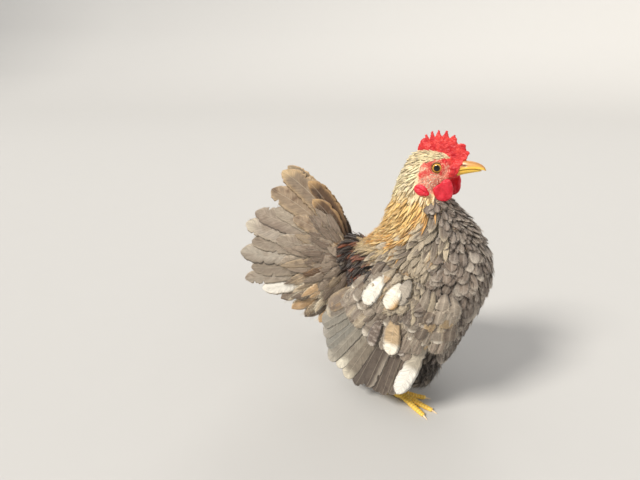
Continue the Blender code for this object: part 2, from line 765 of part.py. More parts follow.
def comb(finish):
    columns = COMB_POINTS * COMB_COLUMNS + 1
    points, faces = [], []
    for i in range(columns):
        share = i / (columns - 1)
        base, edge = along_line(COMB_BASE, share), along_line(COMB_EDGE, share)
        phase = abs(((share * COMB_POINTS) % 1.0) - 0.5) * 2 if 0 < i < columns - 1 else COMB_END
        notch = COMB_NOTCH * phase**1.3 * (0.55 + 0.45 * math.sin(math.pi * share))
        for row, half in enumerate(COMB_THICK):
            reach = (0.0, min(0.55, 1.0 - notch * 0.6), 1.0 - notch)[row]
            at = base.lerp(edge, reach)
            wave = COMB_WAVE[0] * math.sin(share * COMB_WAVE[1] + row)
            points.append(Vector((at.x, half + wave, at.y)) * MM)
            points.append(Vector((at.x, -half + wave, at.y)) * MM)
    ring = len(COMB_THICK) * 2
    for a in range(0, (columns - 1) * ring, ring):
        b = a + ring
        for k in (0, 2):
            faces.append((a + k, a + k + 2, b + k + 2, b + k))
            faces.append((a + k + 1, b + k + 1, b + k + 3, a + k + 3))
        faces.append((a + 4, a + 5, b + 5, b + 4))
        faces.append((a, b, b + 1, a + 1))
    for a in (0, (columns - 1) * ring):
        faces.append((a, a + 1, a + 3, a + 2))
        faces.append((a + 2, a + 3, a + 5, a + 4))
    made = cut_by(mesh_object("comb", points, faces, finish), skin())
    return cut_by(made, grown(bill_half("room", True)))


def lobe(part, side, centre, size, turn, finish):
    """A rounded red lobe at the jaw or ear."""
    lean = Matrix.Rotation(math.radians(turn[0]), 4, "Y")
    flare = Matrix.Rotation(math.radians(side * turn[1]), 4, "X")
    made = ellipsoid(side_name(part, side), mirrored(centre, side), size, finish, 14, 9, lean @ flare)
    return cut_by(made, skin())


def foot_shift(side):
    return STEP_BACK if side > 0 else Vector((0, 0, 0))


def thigh(name, side, finish=None):
    shift = foot_shift(side) * THIGH_FOLLOW
    turns = [2 * math.pi * j / THIGH_SIDES for j in range(THIGH_SIDES)]
    rings = []
    for height, back, front, half in THIGH_SLICES:
        centre = Vector(((back + front) / 2 * MM, side * THIGH_Y, height * MM)) + shift
        length = (front - back) / 2
        rings.append([centre + Vector((math.cos(a) * length, math.sin(a) * half, 0)) * MM for a in turns])
    ends = [sum(ring, Vector()) / len(ring) for ring in (rings[0], rings[-1])]
    poles = (ends[0] + Vector((0, 0, 2 * MM)), ends[1] - Vector((0, 0, 2.5 * MM)))
    return loft(name, rings, finish, poles)


def shank(name, side, finish=None):
    """The leg from hock to ankle, with its front plates as raised rings."""
    top, low = mirrored(HOCK, side), mirrored(ANKLE, side) + foot_shift(side)
    line, radii = [], []
    for i in range(SHANK_PLATES):
        for share, rise in PLATE:
            at = (i + share) / SHANK_PLATES
            line.append(top.lerp(low, at))
            waist = SHANK_WAIST * math.sin(math.pi * at)
            radii.append(SHANK_RADIUS * (SHANK_ENDS - waist) + rise * MM)
    return tube(name, line, radii, SHANK_SIDES, finish, SHANK_DEPTH, Vector((0, 1, 0)))


def toe_heading(side, turn):
    heading = math.radians(side * turn)
    return Vector((math.cos(heading), math.sin(heading), 0))


def toe_line(side, turn, length, plates):
    """Centre line and radii of a toe, two rings for each of its raised plates."""
    pad = mirrored(PAD, side) + foot_shift(side)
    pad.z = 0
    ahead = toe_heading(side, turn)
    line, radii = [], []
    for i in range(2 * plates):
        share = i / (2 * plates - 1)
        radius = TOE_RADIUS * (1 - TOE_TAPER * share) * TOE_PLATE[i % 2]
        arch = TOE_ARCH * math.sin(math.pi * min(1.0, share * 1.4)) * (1 - share)
        line.append(pad + ahead * length * MM * share + Vector((0, 0, radius * TOE_SQUASH + arch)))
        radii.append(radius)
    return line, radii


def foot(side, finish):
    toes = [pressed_flat(tube("toe", *toe_line(side, *sizes), TOE_SIDES)) for _, *sizes in TOES]
    pad = mirrored(PAD, side) + foot_shift(side)
    body = pressed_flat(ellipsoid(side_name("foot", side), pad, PAD_SIZE, finish, 12, 8))
    return cut_by(fused(body, toes), grown(shank("room", side)))


def claws(side, finish):
    for name, *sizes in TOES:
        line, radii = toe_line(side, *sizes)
        ahead = toe_heading(side, sizes[0])
        start = line[-1]
        points, thick = [], []
        for share in CLAW_STEPS:
            drop = Vector((0, 0, start.z * share**1.6 * CLAW_DROP))
            points.append(start + ahead * CLAW_LENGTH * (share - CLAW_SUNK) - drop)
            thick.append(mixed(*CLAW_RADII, share) * MM)
        claw = pressed_flat(tube(side_name("claw_" + name, side), points, thick, CLAW_SIDES, finish))
        cut_by(claw, tube("room", line, [radius + GAP for radius in radii], TOE_SIDES))


def leg(side, feather_finish, scale_finish, claw_finish):
    cut_by(thigh(side_name("thigh", side), side, feather_finish), skin())
    made = cut_by(shank(side_name("shank", side), side, scale_finish), grown(thigh("room", side)))
    cut_by(made, skin())
    foot(side, scale_finish)
    claws(side, claw_finish)


def skin_parts(feather_finish, hackle_finish, face_finish):
    """Trunk, neck and head, parted by two thin cuts."""
    plane_cut(skin("torso", 0.0, feather_finish), NECK_CUT, False)
    neck = plane_cut(skin("neck", 0.0, hackle_finish), NECK_CUT, True)
    hackle(plane_cut(neck, HEAD_CUT, False))
    head = plane_cut(skin("head", 0.0, face_finish), HEAD_CUT, True)
    fused(head, [lid_ring(1), lid_ring(-1)])
    for side in (1, -1):
        cut_by(head, grown(eye("socket", side)))


def centred_on_floor():
    """Hangs every piece on one empty that puts the middle of the bird's box over the origin."""
    pieces = [thing for thing in bpy.data.objects if thing.type == "MESH"]
    points = [vertex.co for thing in pieces for vertex in thing.data.vertices]
    middle = [(min(p[i] for p in points) + max(p[i] for p in points)) / 2 for i in (0, 1)]
    frame = bpy.data.objects.new("frame", None)
    bpy.context.scene.collection.objects.link(frame)
    frame.location = (-middle[0], -middle[1], -min(p.z for p in points))
    for thing in pieces:
        thing.parent = frame


def main():
    for thing in list(bpy.data.objects):
        bpy.data.objects.remove(thing)
    red = material("red_skin", RED, 0.45)
    buff = material("buff_feather", BUFF, 0.7)
    slate = material("slate_feather", SLATE, 0.75)
    pale = material("pale_feather", PALE, 0.7)
    horn = material("horn", HORN, 0.35)
    yellow = material("leg_scale", YELLOW, 0.45)
    amber = material("eye", AMBER, 0.1)
    skin_parts(slate, buff, red)
    bill(horn)
    comb(red)
    for side in (1, -1):
        eye(side_name("eye", side), side, amber)
        lobe("wattle", side, WATTLE_AT, WATTLE_SIZE, WATTLE_TURN, red)
        lobe("earlobe", side, EARLOBE_AT, EARLOBE_SIZE, EARLOBE_TURN, red)
        wing(side, pale)
        tail(side, pale)
        leg(side, slate, yellow, horn)
    centred_on_floor()


main()
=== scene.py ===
import math

import bmesh
import bpy
import numpy as np
from mathutils import Matrix, Vector, noise
from mathutils.bvhtree import BVHTree


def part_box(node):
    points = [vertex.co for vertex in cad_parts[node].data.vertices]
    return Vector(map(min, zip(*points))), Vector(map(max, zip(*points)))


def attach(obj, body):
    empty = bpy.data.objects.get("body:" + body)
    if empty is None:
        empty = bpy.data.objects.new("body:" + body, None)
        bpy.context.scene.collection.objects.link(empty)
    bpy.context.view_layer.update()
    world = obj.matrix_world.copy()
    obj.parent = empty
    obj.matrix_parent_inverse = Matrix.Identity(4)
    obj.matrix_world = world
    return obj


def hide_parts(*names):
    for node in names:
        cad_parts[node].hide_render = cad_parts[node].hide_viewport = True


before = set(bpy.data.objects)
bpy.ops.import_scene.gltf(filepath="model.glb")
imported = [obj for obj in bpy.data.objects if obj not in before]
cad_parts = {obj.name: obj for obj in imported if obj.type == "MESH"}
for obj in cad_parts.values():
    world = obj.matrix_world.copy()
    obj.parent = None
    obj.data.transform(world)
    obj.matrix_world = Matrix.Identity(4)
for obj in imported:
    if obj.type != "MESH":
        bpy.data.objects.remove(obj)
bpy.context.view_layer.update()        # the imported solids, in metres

print("frame loaded")

# A serama chicken in feather. Sizes are in the bird's own millimetres: x ahead, y to its left,
# z up, with x = 0 over the near foot. spot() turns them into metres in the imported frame.
mm = 0.001
eyeAhead = 12.8
eyeLow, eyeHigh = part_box("eye_right")
shift = (eyeLow.x + eyeHigh.x) / 2 - eyeAhead * mm
draw = np.random.default_rng(7)
pi = math.pi
sides = ((1, "left"), (-1, "right"))


def spot(x, y, z):
    return Vector((x * mm + shift, y * mm, z * mm))


def birdSize(point):
    return ((point[0] - shift) / mm, point[1] / mm, point[2] / mm)


def inFrame(points):
    return points * mm + np.array((shift, 0.0, 0.0))


def mix(a, b, share):
    return a + (b - a) * share


def closing(share, first, last):
    # draws a shape's ends shut over the first and the last share of its way
    return min(1.0, share / first, (1 - share) / last) ** 0.5


def ease(low, high, value):
    share = max(0.0, min(1.0, (value - low) / (high - low)))
    return share * share * (3 - 2 * share)


def unit(vectors):
    return vectors / np.maximum(np.linalg.norm(vectors, axis=-1, keepdims=True), 1e-9)


def paint(*onScreen):
    # a colour as seen on screen, made linear
    shares = [part / 255 for part in onScreen]
    return np.array([c / 12.92 if c < 0.0431 else ((c + 0.055) / 1.055) ** 2.4 for c in shares])


def smooth(rows, at, column=1):
    # a smooth curve through one column of rows whose first column is the position
    low = 0
    while low < len(rows) - 2 and at > rows[low + 1][0]:
        low += 1
    near = [rows[max(0, min(len(rows) - 1, low + k))] for k in (-1, 0, 1, 2)]
    span = near[2][0] - near[1][0]
    share = max(0.0, min(1.0, (at - near[1][0]) / span))
    start = (near[2][column] - near[0][column]) / (near[2][0] - near[0][0]) * span
    end = (near[3][column] - near[1][column]) / (near[3][0] - near[1][0]) * span
    s2, s3 = share * share, share**3
    return (
        near[1][column] * (2 * s3 - 3 * s2 + 1)
        + near[2][column] * (3 * s2 - 2 * s3)
        + start * (s3 - 2 * s2 + share)
        + end * (s3 - s2)
    )


def curve(rows, column=1):
    at = np.linspace(rows[0][0], rows[-1][0], 400)
    values = np.array([smooth(rows, a, column) for a in at])
    return lambda where: np.interp(where, at, values)


# camera and studio
view = {
    "place": (110.7, -345.0, 270.0),
    "turn": 30.0,  # degrees round from side-on
    "pitch": 20.5,
    "focalPixels": 481.0,  # with the photograph 640 pixels wide
    "photoWidth": 640.0,
    "sensor": 36.0,
}


def makeCamera():
    lens = bpy.data.cameras.new("camera")
    lens.sensor_width = view["sensor"]
    lens.lens = view["sensor"] * view["focalPixels"] / view["photoWidth"]
    lens.clip_start = 0.01
    camera = bpy.data.objects.new("camera", lens)
    camera.location = spot(*view["place"])
    camera.rotation_euler = (math.radians(90 - view["pitch"]), 0, math.radians(view["turn"]))
    bpy.context.scene.collection.objects.link(camera)
    bpy.context.scene.camera = camera


studio = {
    "floor": (0.53, 0.525, 0.515),
    # the floor's profile: distance from the middle and height in metres, rising far behind the bird
    "sweep": (
        (0.0, 0.0), (2.6, 0.0), (3.2, 0.05), (3.7, 0.2), (4.1, 0.5), (4.35, 0.95), (4.5, 1.6), (4.55, 2.3),
    ),
    "sky": (1.0, 0.98, 0.96),
    "skyStrength": 0.60,
    # where from in mm, the light's spread in degrees, strength, colour
    "lamps": (
        ((-420, -900, 1050), 16.0, 3.35, (1.0, 0.955, 0.88)),
        ((900, -500, 500), 40.0, 0.55, (0.93, 0.96, 1.0)),
        ((-300, 900, 700), 30.0, 0.9, (1.0, 0.97, 0.92)),
    ),
    "aim": (0, 0, 105),
    "transform": "Standard",
}


def makeStudio():
    shape = bmesh.new()
    line = [shape.verts.new((out, 0.0, high)) for out, high in studio["sweep"]]
    edges = [shape.edges.new(pair) for pair in zip(line, line[1:])]
    bmesh.ops.spin(
        shape, geom=line + edges, cent=(0, 0, 0), axis=(0, 0, 1),
        dvec=(0, 0, 0), angle=2 * pi, steps=96, use_merge=True,
    )
    bmesh.ops.remove_doubles(shape, verts=shape.verts, dist=1e-6)
    bmesh.ops.recalc_face_normals(shape, faces=shape.faces)
    if sum(face.normal.z for face in shape.faces) < 0:
        bmesh.ops.reverse_faces(shape, faces=shape.faces)
    floor = finished(shape, "floor")
    floor.data.materials.append(studioFloor())
    for place, spread, strength, colour in studio["lamps"]:
        lamp = bpy.data.lights.new("soft_lamp", "SUN")
        lamp.angle = math.radians(spread)
        lamp.energy = strength
        lamp.color = colour
        holder = bpy.data.objects.new("soft_lamp", lamp)
        holder.location = spot(*place)
        holder.rotation_euler = (spot(*studio["aim"]) - holder.location).to_track_quat("-Z", "Y").to_euler()
        bpy.context.scene.collection.objects.link(holder)
    world = bpy.data.worlds.new("studio")
    bpy.context.scene.world = world
    world.use_nodes = True
    sky = world.node_tree.nodes["Background"]
    sky.inputs["Color"].default_value = (*studio["sky"], 1.0)
    sky.inputs["Strength"].default_value = studio["skyStrength"]
    bpy.context.scene.view_settings.view_transform = studio["transform"]


# material helpers
def newMaterial(name):
    material = bpy.data.materials.new(name)
    material.use_nodes = True
    return material, material.node_tree


def fed(tree, sockets, feeds):
    # sockets by name or number take another socket's value or a fixed one
    for key, value in feeds.items():
        if isinstance(value, bpy.types.NodeSocket):
            tree.links.new(value, sockets[key])
        else:
            sockets[key].default_value = value


def finish(material, feeds):
    fed(material.node_tree, material.node_tree.nodes["Principled BSDF"].inputs, feeds)
    return material


def node(tree, kind, feeds=None, **settings):
    made = tree.nodes.new("ShaderNode" + kind)
    for key, value in settings.items():
        setattr(made, key, value)
    fed(tree, made.inputs, feeds or {})
    return made


def sums(tree, operation, *values):
    return node(tree, "Math", dict(enumerate(values)), operation=operation).outputs[0]


def mixed(tree, factor, a, b, blend="MIX"):
    feeds = {"Factor": factor, "A": a, "B": b}
    return node(tree, "Mix", feeds, data_type="RGBA", blend_type=blend).outputs["Result"]


def ranged(tree, value, low, high, outLow=0.0, outHigh=1.0):
    feeds = {"Value": value, "From Min": low, "From Max": high, "To Min": outLow, "To Max": outHigh}
    return node(tree, "MapRange", feeds).outputs[0]


def clouds(tree, place, scale, detail, **more):
    return node(tree, "TexNoise", {"Vector": place, "Scale": scale, "Detail": detail, **more}).outputs[0]


def onObject(tree):
    return node(tree, "TexCoord").outputs["Object"]


def ownMark(tree, name, output="Fac"):
    # an attribute that the piece carries
    return node(tree, "Attribute", attribute_name=name).outputs[output]


def bumped(tree, height, strength, distance):
    return node(tree, "Bump", {"Strength": strength, "Distance": distance, "Height": height}).outputs[0]


def screen(*tone):
    return (*paint(*tone), 1.0)


def glow(weight, *reach):
    # light that passes under skin or horn
    return {"Subsurface Weight": weight, "Subsurface Radius": reach, "Subsurface Scale": 1.0}


def groupOf(name, inputs, outputs):
    # an empty shader group with float inputs and outputs
    group = bpy.data.node_groups.new(name, "ShaderNodeTree")
    for label, value in inputs.items():
        made = group.interface.new_socket(label, in_out="INPUT", socket_type="NodeSocketFloat")
        made.default_value = value
    for label in outputs:
        group.interface.new_socket(label, in_out="OUTPUT", socket_type="NodeSocketFloat")
    return group, group.nodes.new("NodeGroupInput").outputs, group.nodes.new("NodeGroupOutput").inputs


def makeBarbs():
    # fine slanting barbs on each side of a shaft, from the vane's own map
    inputs = {"Count": 60.0, "Slant": 14.0, "Depth": 0.16}
    group, given, end = groupOf("barbs", inputs, ("Shade", "Height", "Shaft", "Streak"))
    vane = node(group, "UVMap", uv_map="vane").outputs[0]
    across, down = node(group, "SeparateXYZ", {0: vane}).outputs[:2]
    out = sums(group, "ABSOLUTE", sums(group, "SUBTRACT", across, 0.5))
    scaled = node(group, "Mapping", {"Vector": vane, "Scale": (7.0, 5.0, 1.0)}).outputs[0]
    along = sums(group, "MULTIPLY", down, given["Count"])
    back = sums(group, "MULTIPLY", out, given["Slant"])
    stray = clouds(group, scaled, 1.0, 3.0)
    wander = sums(group, "MULTIPLY_ADD", stray, 2.4, sums(group, "SUBTRACT", along, back))
    wave = sums(group, "SINE", sums(group, "MULTIPLY", wander, 2 * pi))
    # darker and paler bundles of barbs, different on each feather
    sources = (wander, 0.75), (across, 3.0), (ownMark(group, "luck"), 60.0)
    sized = {k: sums(group, "MULTIPLY", source, size) for k, (source, size) in enumerate(sources)}
    bundled = clouds(group, node(group, "CombineXYZ", sized).outputs[0], 1.0, 3.0, Roughness=0.62)
    fed(group, end, {
        "Height": wave,
        # Shade: painted light and shade of the barbs, lighter on their ridges and darker in their grooves,
        # from the same wave as Height
        "Shade": sums(group, "MULTIPLY_ADD", wave, given["Depth"], 1.0),
        "Streak": ranged(group, bundled, 0.30, 0.70, 0.70, 1.25),
        "Shaft": ranged(group, out, 0.035, 0.012),
    })
    return group


barbs = makeBarbs()


def featherFinish(name, count, slant, depth, roughness, shaftTone, relief, contrast=1.0):
    material, tree = newMaterial(name)
    lines = node(tree, "Group", {"Count": count, "Slant": slant, "Depth": depth}, node_tree=barbs).outputs
    # painted light and shade of the barbs' ridges and grooves, times the barb bundles' own streaks
    barbShadeAndStreaks = sums(tree, "MULTIPLY", lines["Shade"], lines["Streak"])
    vane = mixed(tree, contrast, ownMark(tree, "plume", "Color"), barbShadeAndStreaks, "MULTIPLY")
    return finish(material, {
        "Base Color": mixed(tree, sums(tree, "MULTIPLY", lines["Shaft"], 0.45), vane, screen(*shaftTone)),
        "Normal": bumped(tree, lines["Height"], relief, 0.0003),
        "Roughness": roughness,
        "Specular IOR Level": 0.3,
        "Sheen Weight": 0.25,
        "Sheen Roughness": 0.45,
    })


def barbFinish(name):
    material, tree = newMaterial(name)
    colour = ownMark(tree, "plume", "Color")
    return finish(material, {
        "Base Color": colour, "Roughness": 0.7, "Specular IOR Level": 0.25, "Sheen Weight": 0.2,
    })


def studioFloor():
    material, tree = newMaterial("studio_floor")
    floor = studio["floor"]
    darker = [c * 0.985 for c in floor]
    colour = mixed(tree, clouds(tree, onObject(tree), 30.0, 4.0), (*darker, 1.0), (*floor, 1.0))
    return finish(material, {"Base Color": colour, "Roughness": 0.85})


# shape helpers
def pieceOf(mesh, name):
    mesh.shade_smooth()
    piece = bpy.data.objects.new(name, mesh)
    bpy.context.scene.collection.objects.link(piece)
    return piece


def finished(shape, name):
    # a bmesh in metres becomes an object
    mesh = bpy.data.meshes.new(name)
    shape.to_mesh(mesh)
    shape.free()
    return pieceOf(mesh, name)


def placedOn(piece, material, replaced=()):
    # a piece of the bird: its finish, and the solids that it stands for
    mesh = piece.data
    mesh.materials.clear()
    mesh.materials.append(material)
    mesh.shade_smooth()
    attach(piece, "root")
    if replaced:
        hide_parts(*replaced)
    return piece


def filledMesh(name, points, corners, starts):
    # a mesh from points in mm, the corners of its faces in a row, and where each face starts there
    mesh = bpy.data.meshes.new(name)
    points = inFrame(points).reshape(-1, 3)
    mesh.vertices.add(len(points))
    mesh.vertices.foreach_set("co", points.astype(np.float32).ravel())
    mesh.loops.add(len(corners))
    mesh.loops.foreach_set("vertex_index", corners.astype(np.int32))
    mesh.polygons.add(len(starts))
    mesh.polygons.foreach_set("loop_start", starts.astype(np.int32))
    mesh.update(calc_edges=True)
    return mesh


def painted(piece, name, valueOf):
    # an attribute that holds valueOf(x, y, z, out), a colour or a number, at each vertex
    mesh = piece.data
    values = [valueOf(*birdSize(vertex.co), vertex.normal) for vertex in mesh.vertices]
    colour = np.ndim(values[0]) > 0
    if colour:
        values = [(*value, 1.0) for value in values]
    made = mesh.attributes.new(name, "FLOAT_COLOR" if colour else "FLOAT", "POINT")
    made.data.foreach_set("color" if colour else "value", np.array(values, dtype=np.float32).ravel())


def pushed(piece, amount):
    # moves each vertex along its normal by amount(x, y, z, out) mm
    mesh = piece.data
    places = [(vertex.co.copy(), vertex.normal.copy()) for vertex in mesh.vertices]
    for vertex, (place, out) in zip(mesh.vertices, places):
        vertex.co = place + out * amount(*birdSize(place), out) * mm
    mesh.update()


def onBall(share, turn):
    ring = math.sin(pi * share)
    return Vector((ring * math.cos(turn), ring * math.sin(turn), math.cos(pi * share)))


def grain(x, y, z, scale):
    return noise.noise(Vector((x, y, z)) * scale)


def settled(shape):
    # the same shape with its faces in order, because the operators' order changes from run to run
    places = sorted(shape.verts, key=lambda vertex: vertex.co[:])
    rank = {vertex: k for k, vertex in enumerate(places)}
    faces = []
    for face in shape.faces:
        ranks = [rank[vertex] for vertex in face.verts]
        first = ranks.index(min(ranks))
        faces.append(ranks[first:] + ranks[:first])
    fresh = bmesh.new()
    made = [fresh.verts.new(vertex.co) for vertex in places]
    for ranks in sorted(faces):
        fresh.faces.new([made[k] for k in ranks])
    fresh.normal_update()
    shape.free()
    return fresh


def drawn(around, along, place):
    # a ball whose poles and rings are drawn out: place(share, turn) gives a point in mm
    shape = bmesh.new()
    bmesh.ops.create_uvsphere(shape, u_segments=around, v_segments=along, radius=1.0)
    shape = settled(shape)
    for vertex in shape.verts:
        share = math.acos(max(-1.0, min(1.0, vertex.co.z))) / pi
        vertex.co = spot(*place(share, math.atan2(vertex.co.y, vertex.co.x)))
    bmesh.ops.recalc_face_normals(shape, faces=shape.faces)
    return shape


def applied(piece):
    graph = bpy.context.evaluated_depsgraph_get()
    mesh = bpy.data.meshes.new_from_object(piece.evaluated_get(graph))
    piece.modifiers.clear()
    piece.data = mesh
    return piece


def fused(piece, others):
    group = bpy.data.collections.new("joined")
    bpy.context.scene.collection.children.link(group)
    for other in others:
        bpy.context.scene.collection.objects.unlink(other)
        group.objects.link(other)
    step = piece.modifiers.new("union", "BOOLEAN")
    step.operation = "UNION"
    step.solver = "EXACT"
    step.operand_type = "COLLECTION"
    step.collection = group
    applied(piece)
    for other in others:
        bpy.data.objects.remove(other)
    bpy.data.collections.remove(group)


# trunk, neck and head as level slices: height, back, front and half width
trunk = {
    "slices": (
        (34.0, -12.0, 24.0, 12.0), (42.0, -25.0, 33.0, 24.0), (52.0, -35.0, 38.0, 31.5),
        (66.0, -44.0, 43.0, 38.0), (82.0, -51.0, 49.5, 42.0), (98.0, -55.0, 55.0, 43.5),
        (112.0, -55.0, 58.5, 43.0), (124.0, -50.0, 58.0, 40.5), (134.0, -40.0, 56.0, 36.0),
        (144.0, -31.0, 51.5, 30.5), (154.0, -27.0, 44.5, 25.5), (163.0, -24.5, 35.0, 21.0),
        (172.0, -22.8, 25.0, 17.5), (180.0, -20.3, 19.0, 14.5), (187.0, -17.3, 19.5, 12.5),
        (193.0, -14.6, 22.0, 12.0), (199.0, -12.3, 24.0, 11.3), (204.0, -9.3, 22.5, 9.0),
        (208.0, -5.0, 16.0, 5.0),
    ),
    "fullness": 2.3,
    "headFullness": 2.0,
    "neckFrom": 150.0,
    "neckBlend": 30.0,
    "bottom": (6.0, 31.0),
    "top": (5.5, 209.5),
    "around": 120,
    "bodyStep": 2.7,
    "headFrom": 150.0,
    "headStep": 0.8,
    # how far the skin lies inside the solids, by height
    "depth": ((31, 3.0), (120, 3.4), (150, 2.9), (172, 2.2), (182, 1.4), (190, 0.7), (210, 0.5)),
}
sliceBack = curve(trunk["slices"], 1)
sliceFront = curve(trunk["slices"], 2)
sliceHalf = curve(trunk["slices"], 3)
skinDepth = curve(trunk["depth"])
trunkLow, trunkHigh = trunk["slices"][0][0], trunk["slices"][-1][0]


def trunkPoint(turn, height, lift):
    back, front, half = sliceBack(height), sliceFront(height), sliceHalf(height)
    share = max(0.0, min(1.0, (height - trunk["neckFrom"]) / trunk["neckBlend"]))
    power = 2 / mix(trunk["fullness"], trunk["headFullness"], share)
    c, s = math.cos(turn), math.sin(turn)
    x = (back + front) / 2 + ((front - back) / 2 + lift) * math.copysign(abs(c) ** power, c)
    y = (half + lift) * math.copysign(abs(s) ** power, s)
    return x, y, height


ringHeights = [
    *np.arange(trunkLow, trunk["headFrom"], trunk["bodyStep"]),
    *np.arange(trunk["headFrom"], trunkHigh + 0.01, trunk["headStep"]),
]


def trunkShape():
    count = len(ringHeights)

    def place(share, turn):
        ring = round(share * (count + 1))
        if ring == 0:
            return trunk["top"][0], 0, trunk["top"][1] - 0.5
        if ring == count + 1:
            return trunk["bottom"][0], 0, trunk["bottom"][1] + 3.0
        height = ringHeights[count - ring]
        return trunkPoint(turn, height, -float(skinDepth(height)))

    return drawn(trunk["around"], count + 1, place)


# forms of the face: x, half width and height of each, its reach, and how far it stands out
faceForms = (
    (13.0, 10.5, 198.0, 4.4, -1.5), (13.5, 9.0, 203.6, 3.2, 0.7), (7.0, 10.0, 202.5, 3.0, 0.3),
    (19.0, 9.5, 199.5, 2.6, 0.35), (12.0, 11.5, 190.0, 5.0, 0.5), (21.5, 8.0, 191.5, 2.6, 0.8),
    (4.0, 11.5, 192.0, 2.6, 0.35), (24.5, 6.0, 196.5, 2.5, -0.3),
)
# bare red skin: lines on the side of the head as (x, z) to (x, z), each with its reach
bareLines = (
    (2.6, 191.8, 7.0, 194.2, 1.9), (15.5, 202.0, 22.0, 201.5, 2.6), (26.0, 197.0, 23.5, 190.5, 3.4),
    (22.5, 190.5, 15.5, 184.0, 2.4), (12.0, 198.0, 15.0, 198.0, 4.6), (4.5, 199.5, 11.0, 201.5, 1.9),
)


def bareness(x, y, z):
    # 1 on the red skin of the face and 0 under feathers
    if z < 174 or abs(y) < 2 and z > 203:
        return 0.0
    best = 0.0
    stray = noise.noise(Vector((x * 0.5, y * 0.5, z * 0.5))) * 1.3
    for x0, z0, x1, z1, reach in bareLines:
        along = ((x - x0) * (x1 - x0) + (z - z0) * (z1 - z0)) / ((x1 - x0) ** 2 + (z1 - z0) ** 2)
        along = max(0.0, min(1.0, along))
        gap = math.hypot(x - mix(x0, x1, along), z - mix(z0, z1, along)) + stray
        best = max(best, ease(reach + 0.9, reach - 0.9, gap))
    if x > 17 and 178 < z < 193 and abs(y) < 9 or x > 21 and z > 196:
        best = 1.0  # the throat between the wattles
    return best


def facePush(x, y, z):
    # how far the face stands out of the plain head at a place
    push = 0.0
    for cx, cy, cz, reach, out in faceForms:
        gap = math.dist((x, abs(y), z), (cx, cy, cz)) / reach
        push += out * math.exp(-gap * gap * 1.2)
    ring = math.dist((x, abs(y) * 0.6, z), (13.0, 6.3, 198.0))
    folds = 0.10 * math.sin(ring * 4.2) * ease(4.0, 5.0, ring) * ease(8.5, 6.5, ring)
    wrinkles = 0.16 * noise.fractal(Vector((x * 0.9, y * 0.9, z * 1.5)), 0.7, 2.1, 3)
    return push + (folds + wrinkles) * bareness(x, y, z)


def faceShaped(shape):
    for face in shape.faces:
        x, y, z = birdSize(face.calc_center_median())
        face.tag = z > 183 and x > -6
    edges = [edge for edge in shape.edges if any(face.tag for face in edge.link_faces)]
    bmesh.ops.subdivide_edges(shape, edges=edges, cuts=1, use_grid_fill=True, smooth=0.0)
    shape = settled(shape)
    for vertex in shape.verts:
        x, y, z = birdSize(vertex.co)
        if z > 176:
            vertex.co += vertex.normal * facePush(x, y, z) * mm
    return shape


# thighs, arms and rump, all inside the solids
thighForm = {
    "slices": (
        (76.0, -15.0, 33.0, 15.0), (62.0, -16.0, 34.0, 15.0), (50.0, -16.0, 33.5, 14.5),
        (41.0, -14.0, 32.0, 13.5), (33.0, -8.0, 29.5, 11.5), (26.0, -2.0, 26.0, 9.5),
        (20.5, 4.0, 21.5, 6.5),
    ),
    "y": 20.0,
    "follow": 0.5,
    "depth": 2.6,
    "stepBack": -21.0,  # of the far leg
    "mesh": (48, 40),  # segments around and along
    "closing": 0.05,
}
armForm = {
    "centre": 28.0,  # from the elbow towards the wrist
    "rise": 8.0,
    "length": 36.0,
    "height": 17.0,
    "lift": -1.6,
    "swell": 6.0,
    "depth": 1.4,
    "mesh": (40, 24),
}
rumpForm = {"centre": (-55.0, 0.0, 114.0), "radii": (19.0, 10.5, 17.0), "lean": 24.0, "mesh": (40, 28)}
thighSlices = tuple(reversed(thighForm["slices"]))
thighBack, thighFront, thighHalf = (curve(thighSlices, column) for column in (1, 2, 3))


def footShift(side):
    return thighForm["stepBack"] if side > 0 else 0.0


def thighPoint(side, height, turn, depth):
    back, front, half = thighBack(height), thighFront(height), thighHalf(height)
    x = (back + front) / 2 + footShift(side) * thighForm["follow"]
    return (
        x + ((front - back) / 2 - depth) * math.cos(turn),
        side * thighForm["y"] + (half - depth) * math.sin(turn),
        height,
    )


def thighShape(side):
    top, low = thighSlices[-1][0], thighSlices[0][0]

    def place(share, turn):
        height = mix(top, low, share)
        (x, y, z), front, rear = (thighPoint(side, height, at, thighForm["depth"]) for at in (turn, 0, pi))
        close = closing(share, thighForm["closing"], thighForm["closing"])
        return mix((front[0] + rear[0]) / 2, x, close), mix(side * thighForm["y"], y, close), z

    return drawn(*thighForm["mesh"], place)


# the sheet that a hanging wing lies in, and the tent of the tail
wingSheet = {
    "swell": 3.6,  # clear of the trunk
    "x0": 2.0,
    "front": 52.0,
    "rear": 86.0,
    "widest": 100.0,
    "inset": 0.06,
    "turn": 0.97,
}
elbow = np.array((-22.0, 112.0))
wrist = np.array((30.0, 88.0))
tailRoot = np.array((-52.0, 3.2, 110.0))
tailOut = curve((
    (-75, 10), (-60, 15), (-45, 22), (-20, 27), (1, 23), (17, 15), (33, 6), (44, 1.6), (58, -1.2), (75, -1.5),
))


def wingHalf(x, z):
    sheet = wingSheet
    half = sliceHalf(np.maximum(z, sheet["widest"])) + sheet["swell"]
    half = half - sheet["inset"] * np.maximum(0.0, sheet["widest"] - z)
    reach = np.where(x > sheet["x0"], sheet["front"], sheet["rear"])
    share = np.minimum(sheet["turn"], np.abs((x - sheet["x0"]) / reach))
    return half * (1 - share ** trunk["fullness"]) ** (1 / trunk["fullness"])


def tailHalf(x, z):
    x, z = x - tailRoot[0], z - tailRoot[2]
    elevation = np.degrees(np.arctan2(z, -x))
    return tailRoot[1] + np.hypot(x, z) * np.sin(np.radians(tailOut(elevation)))


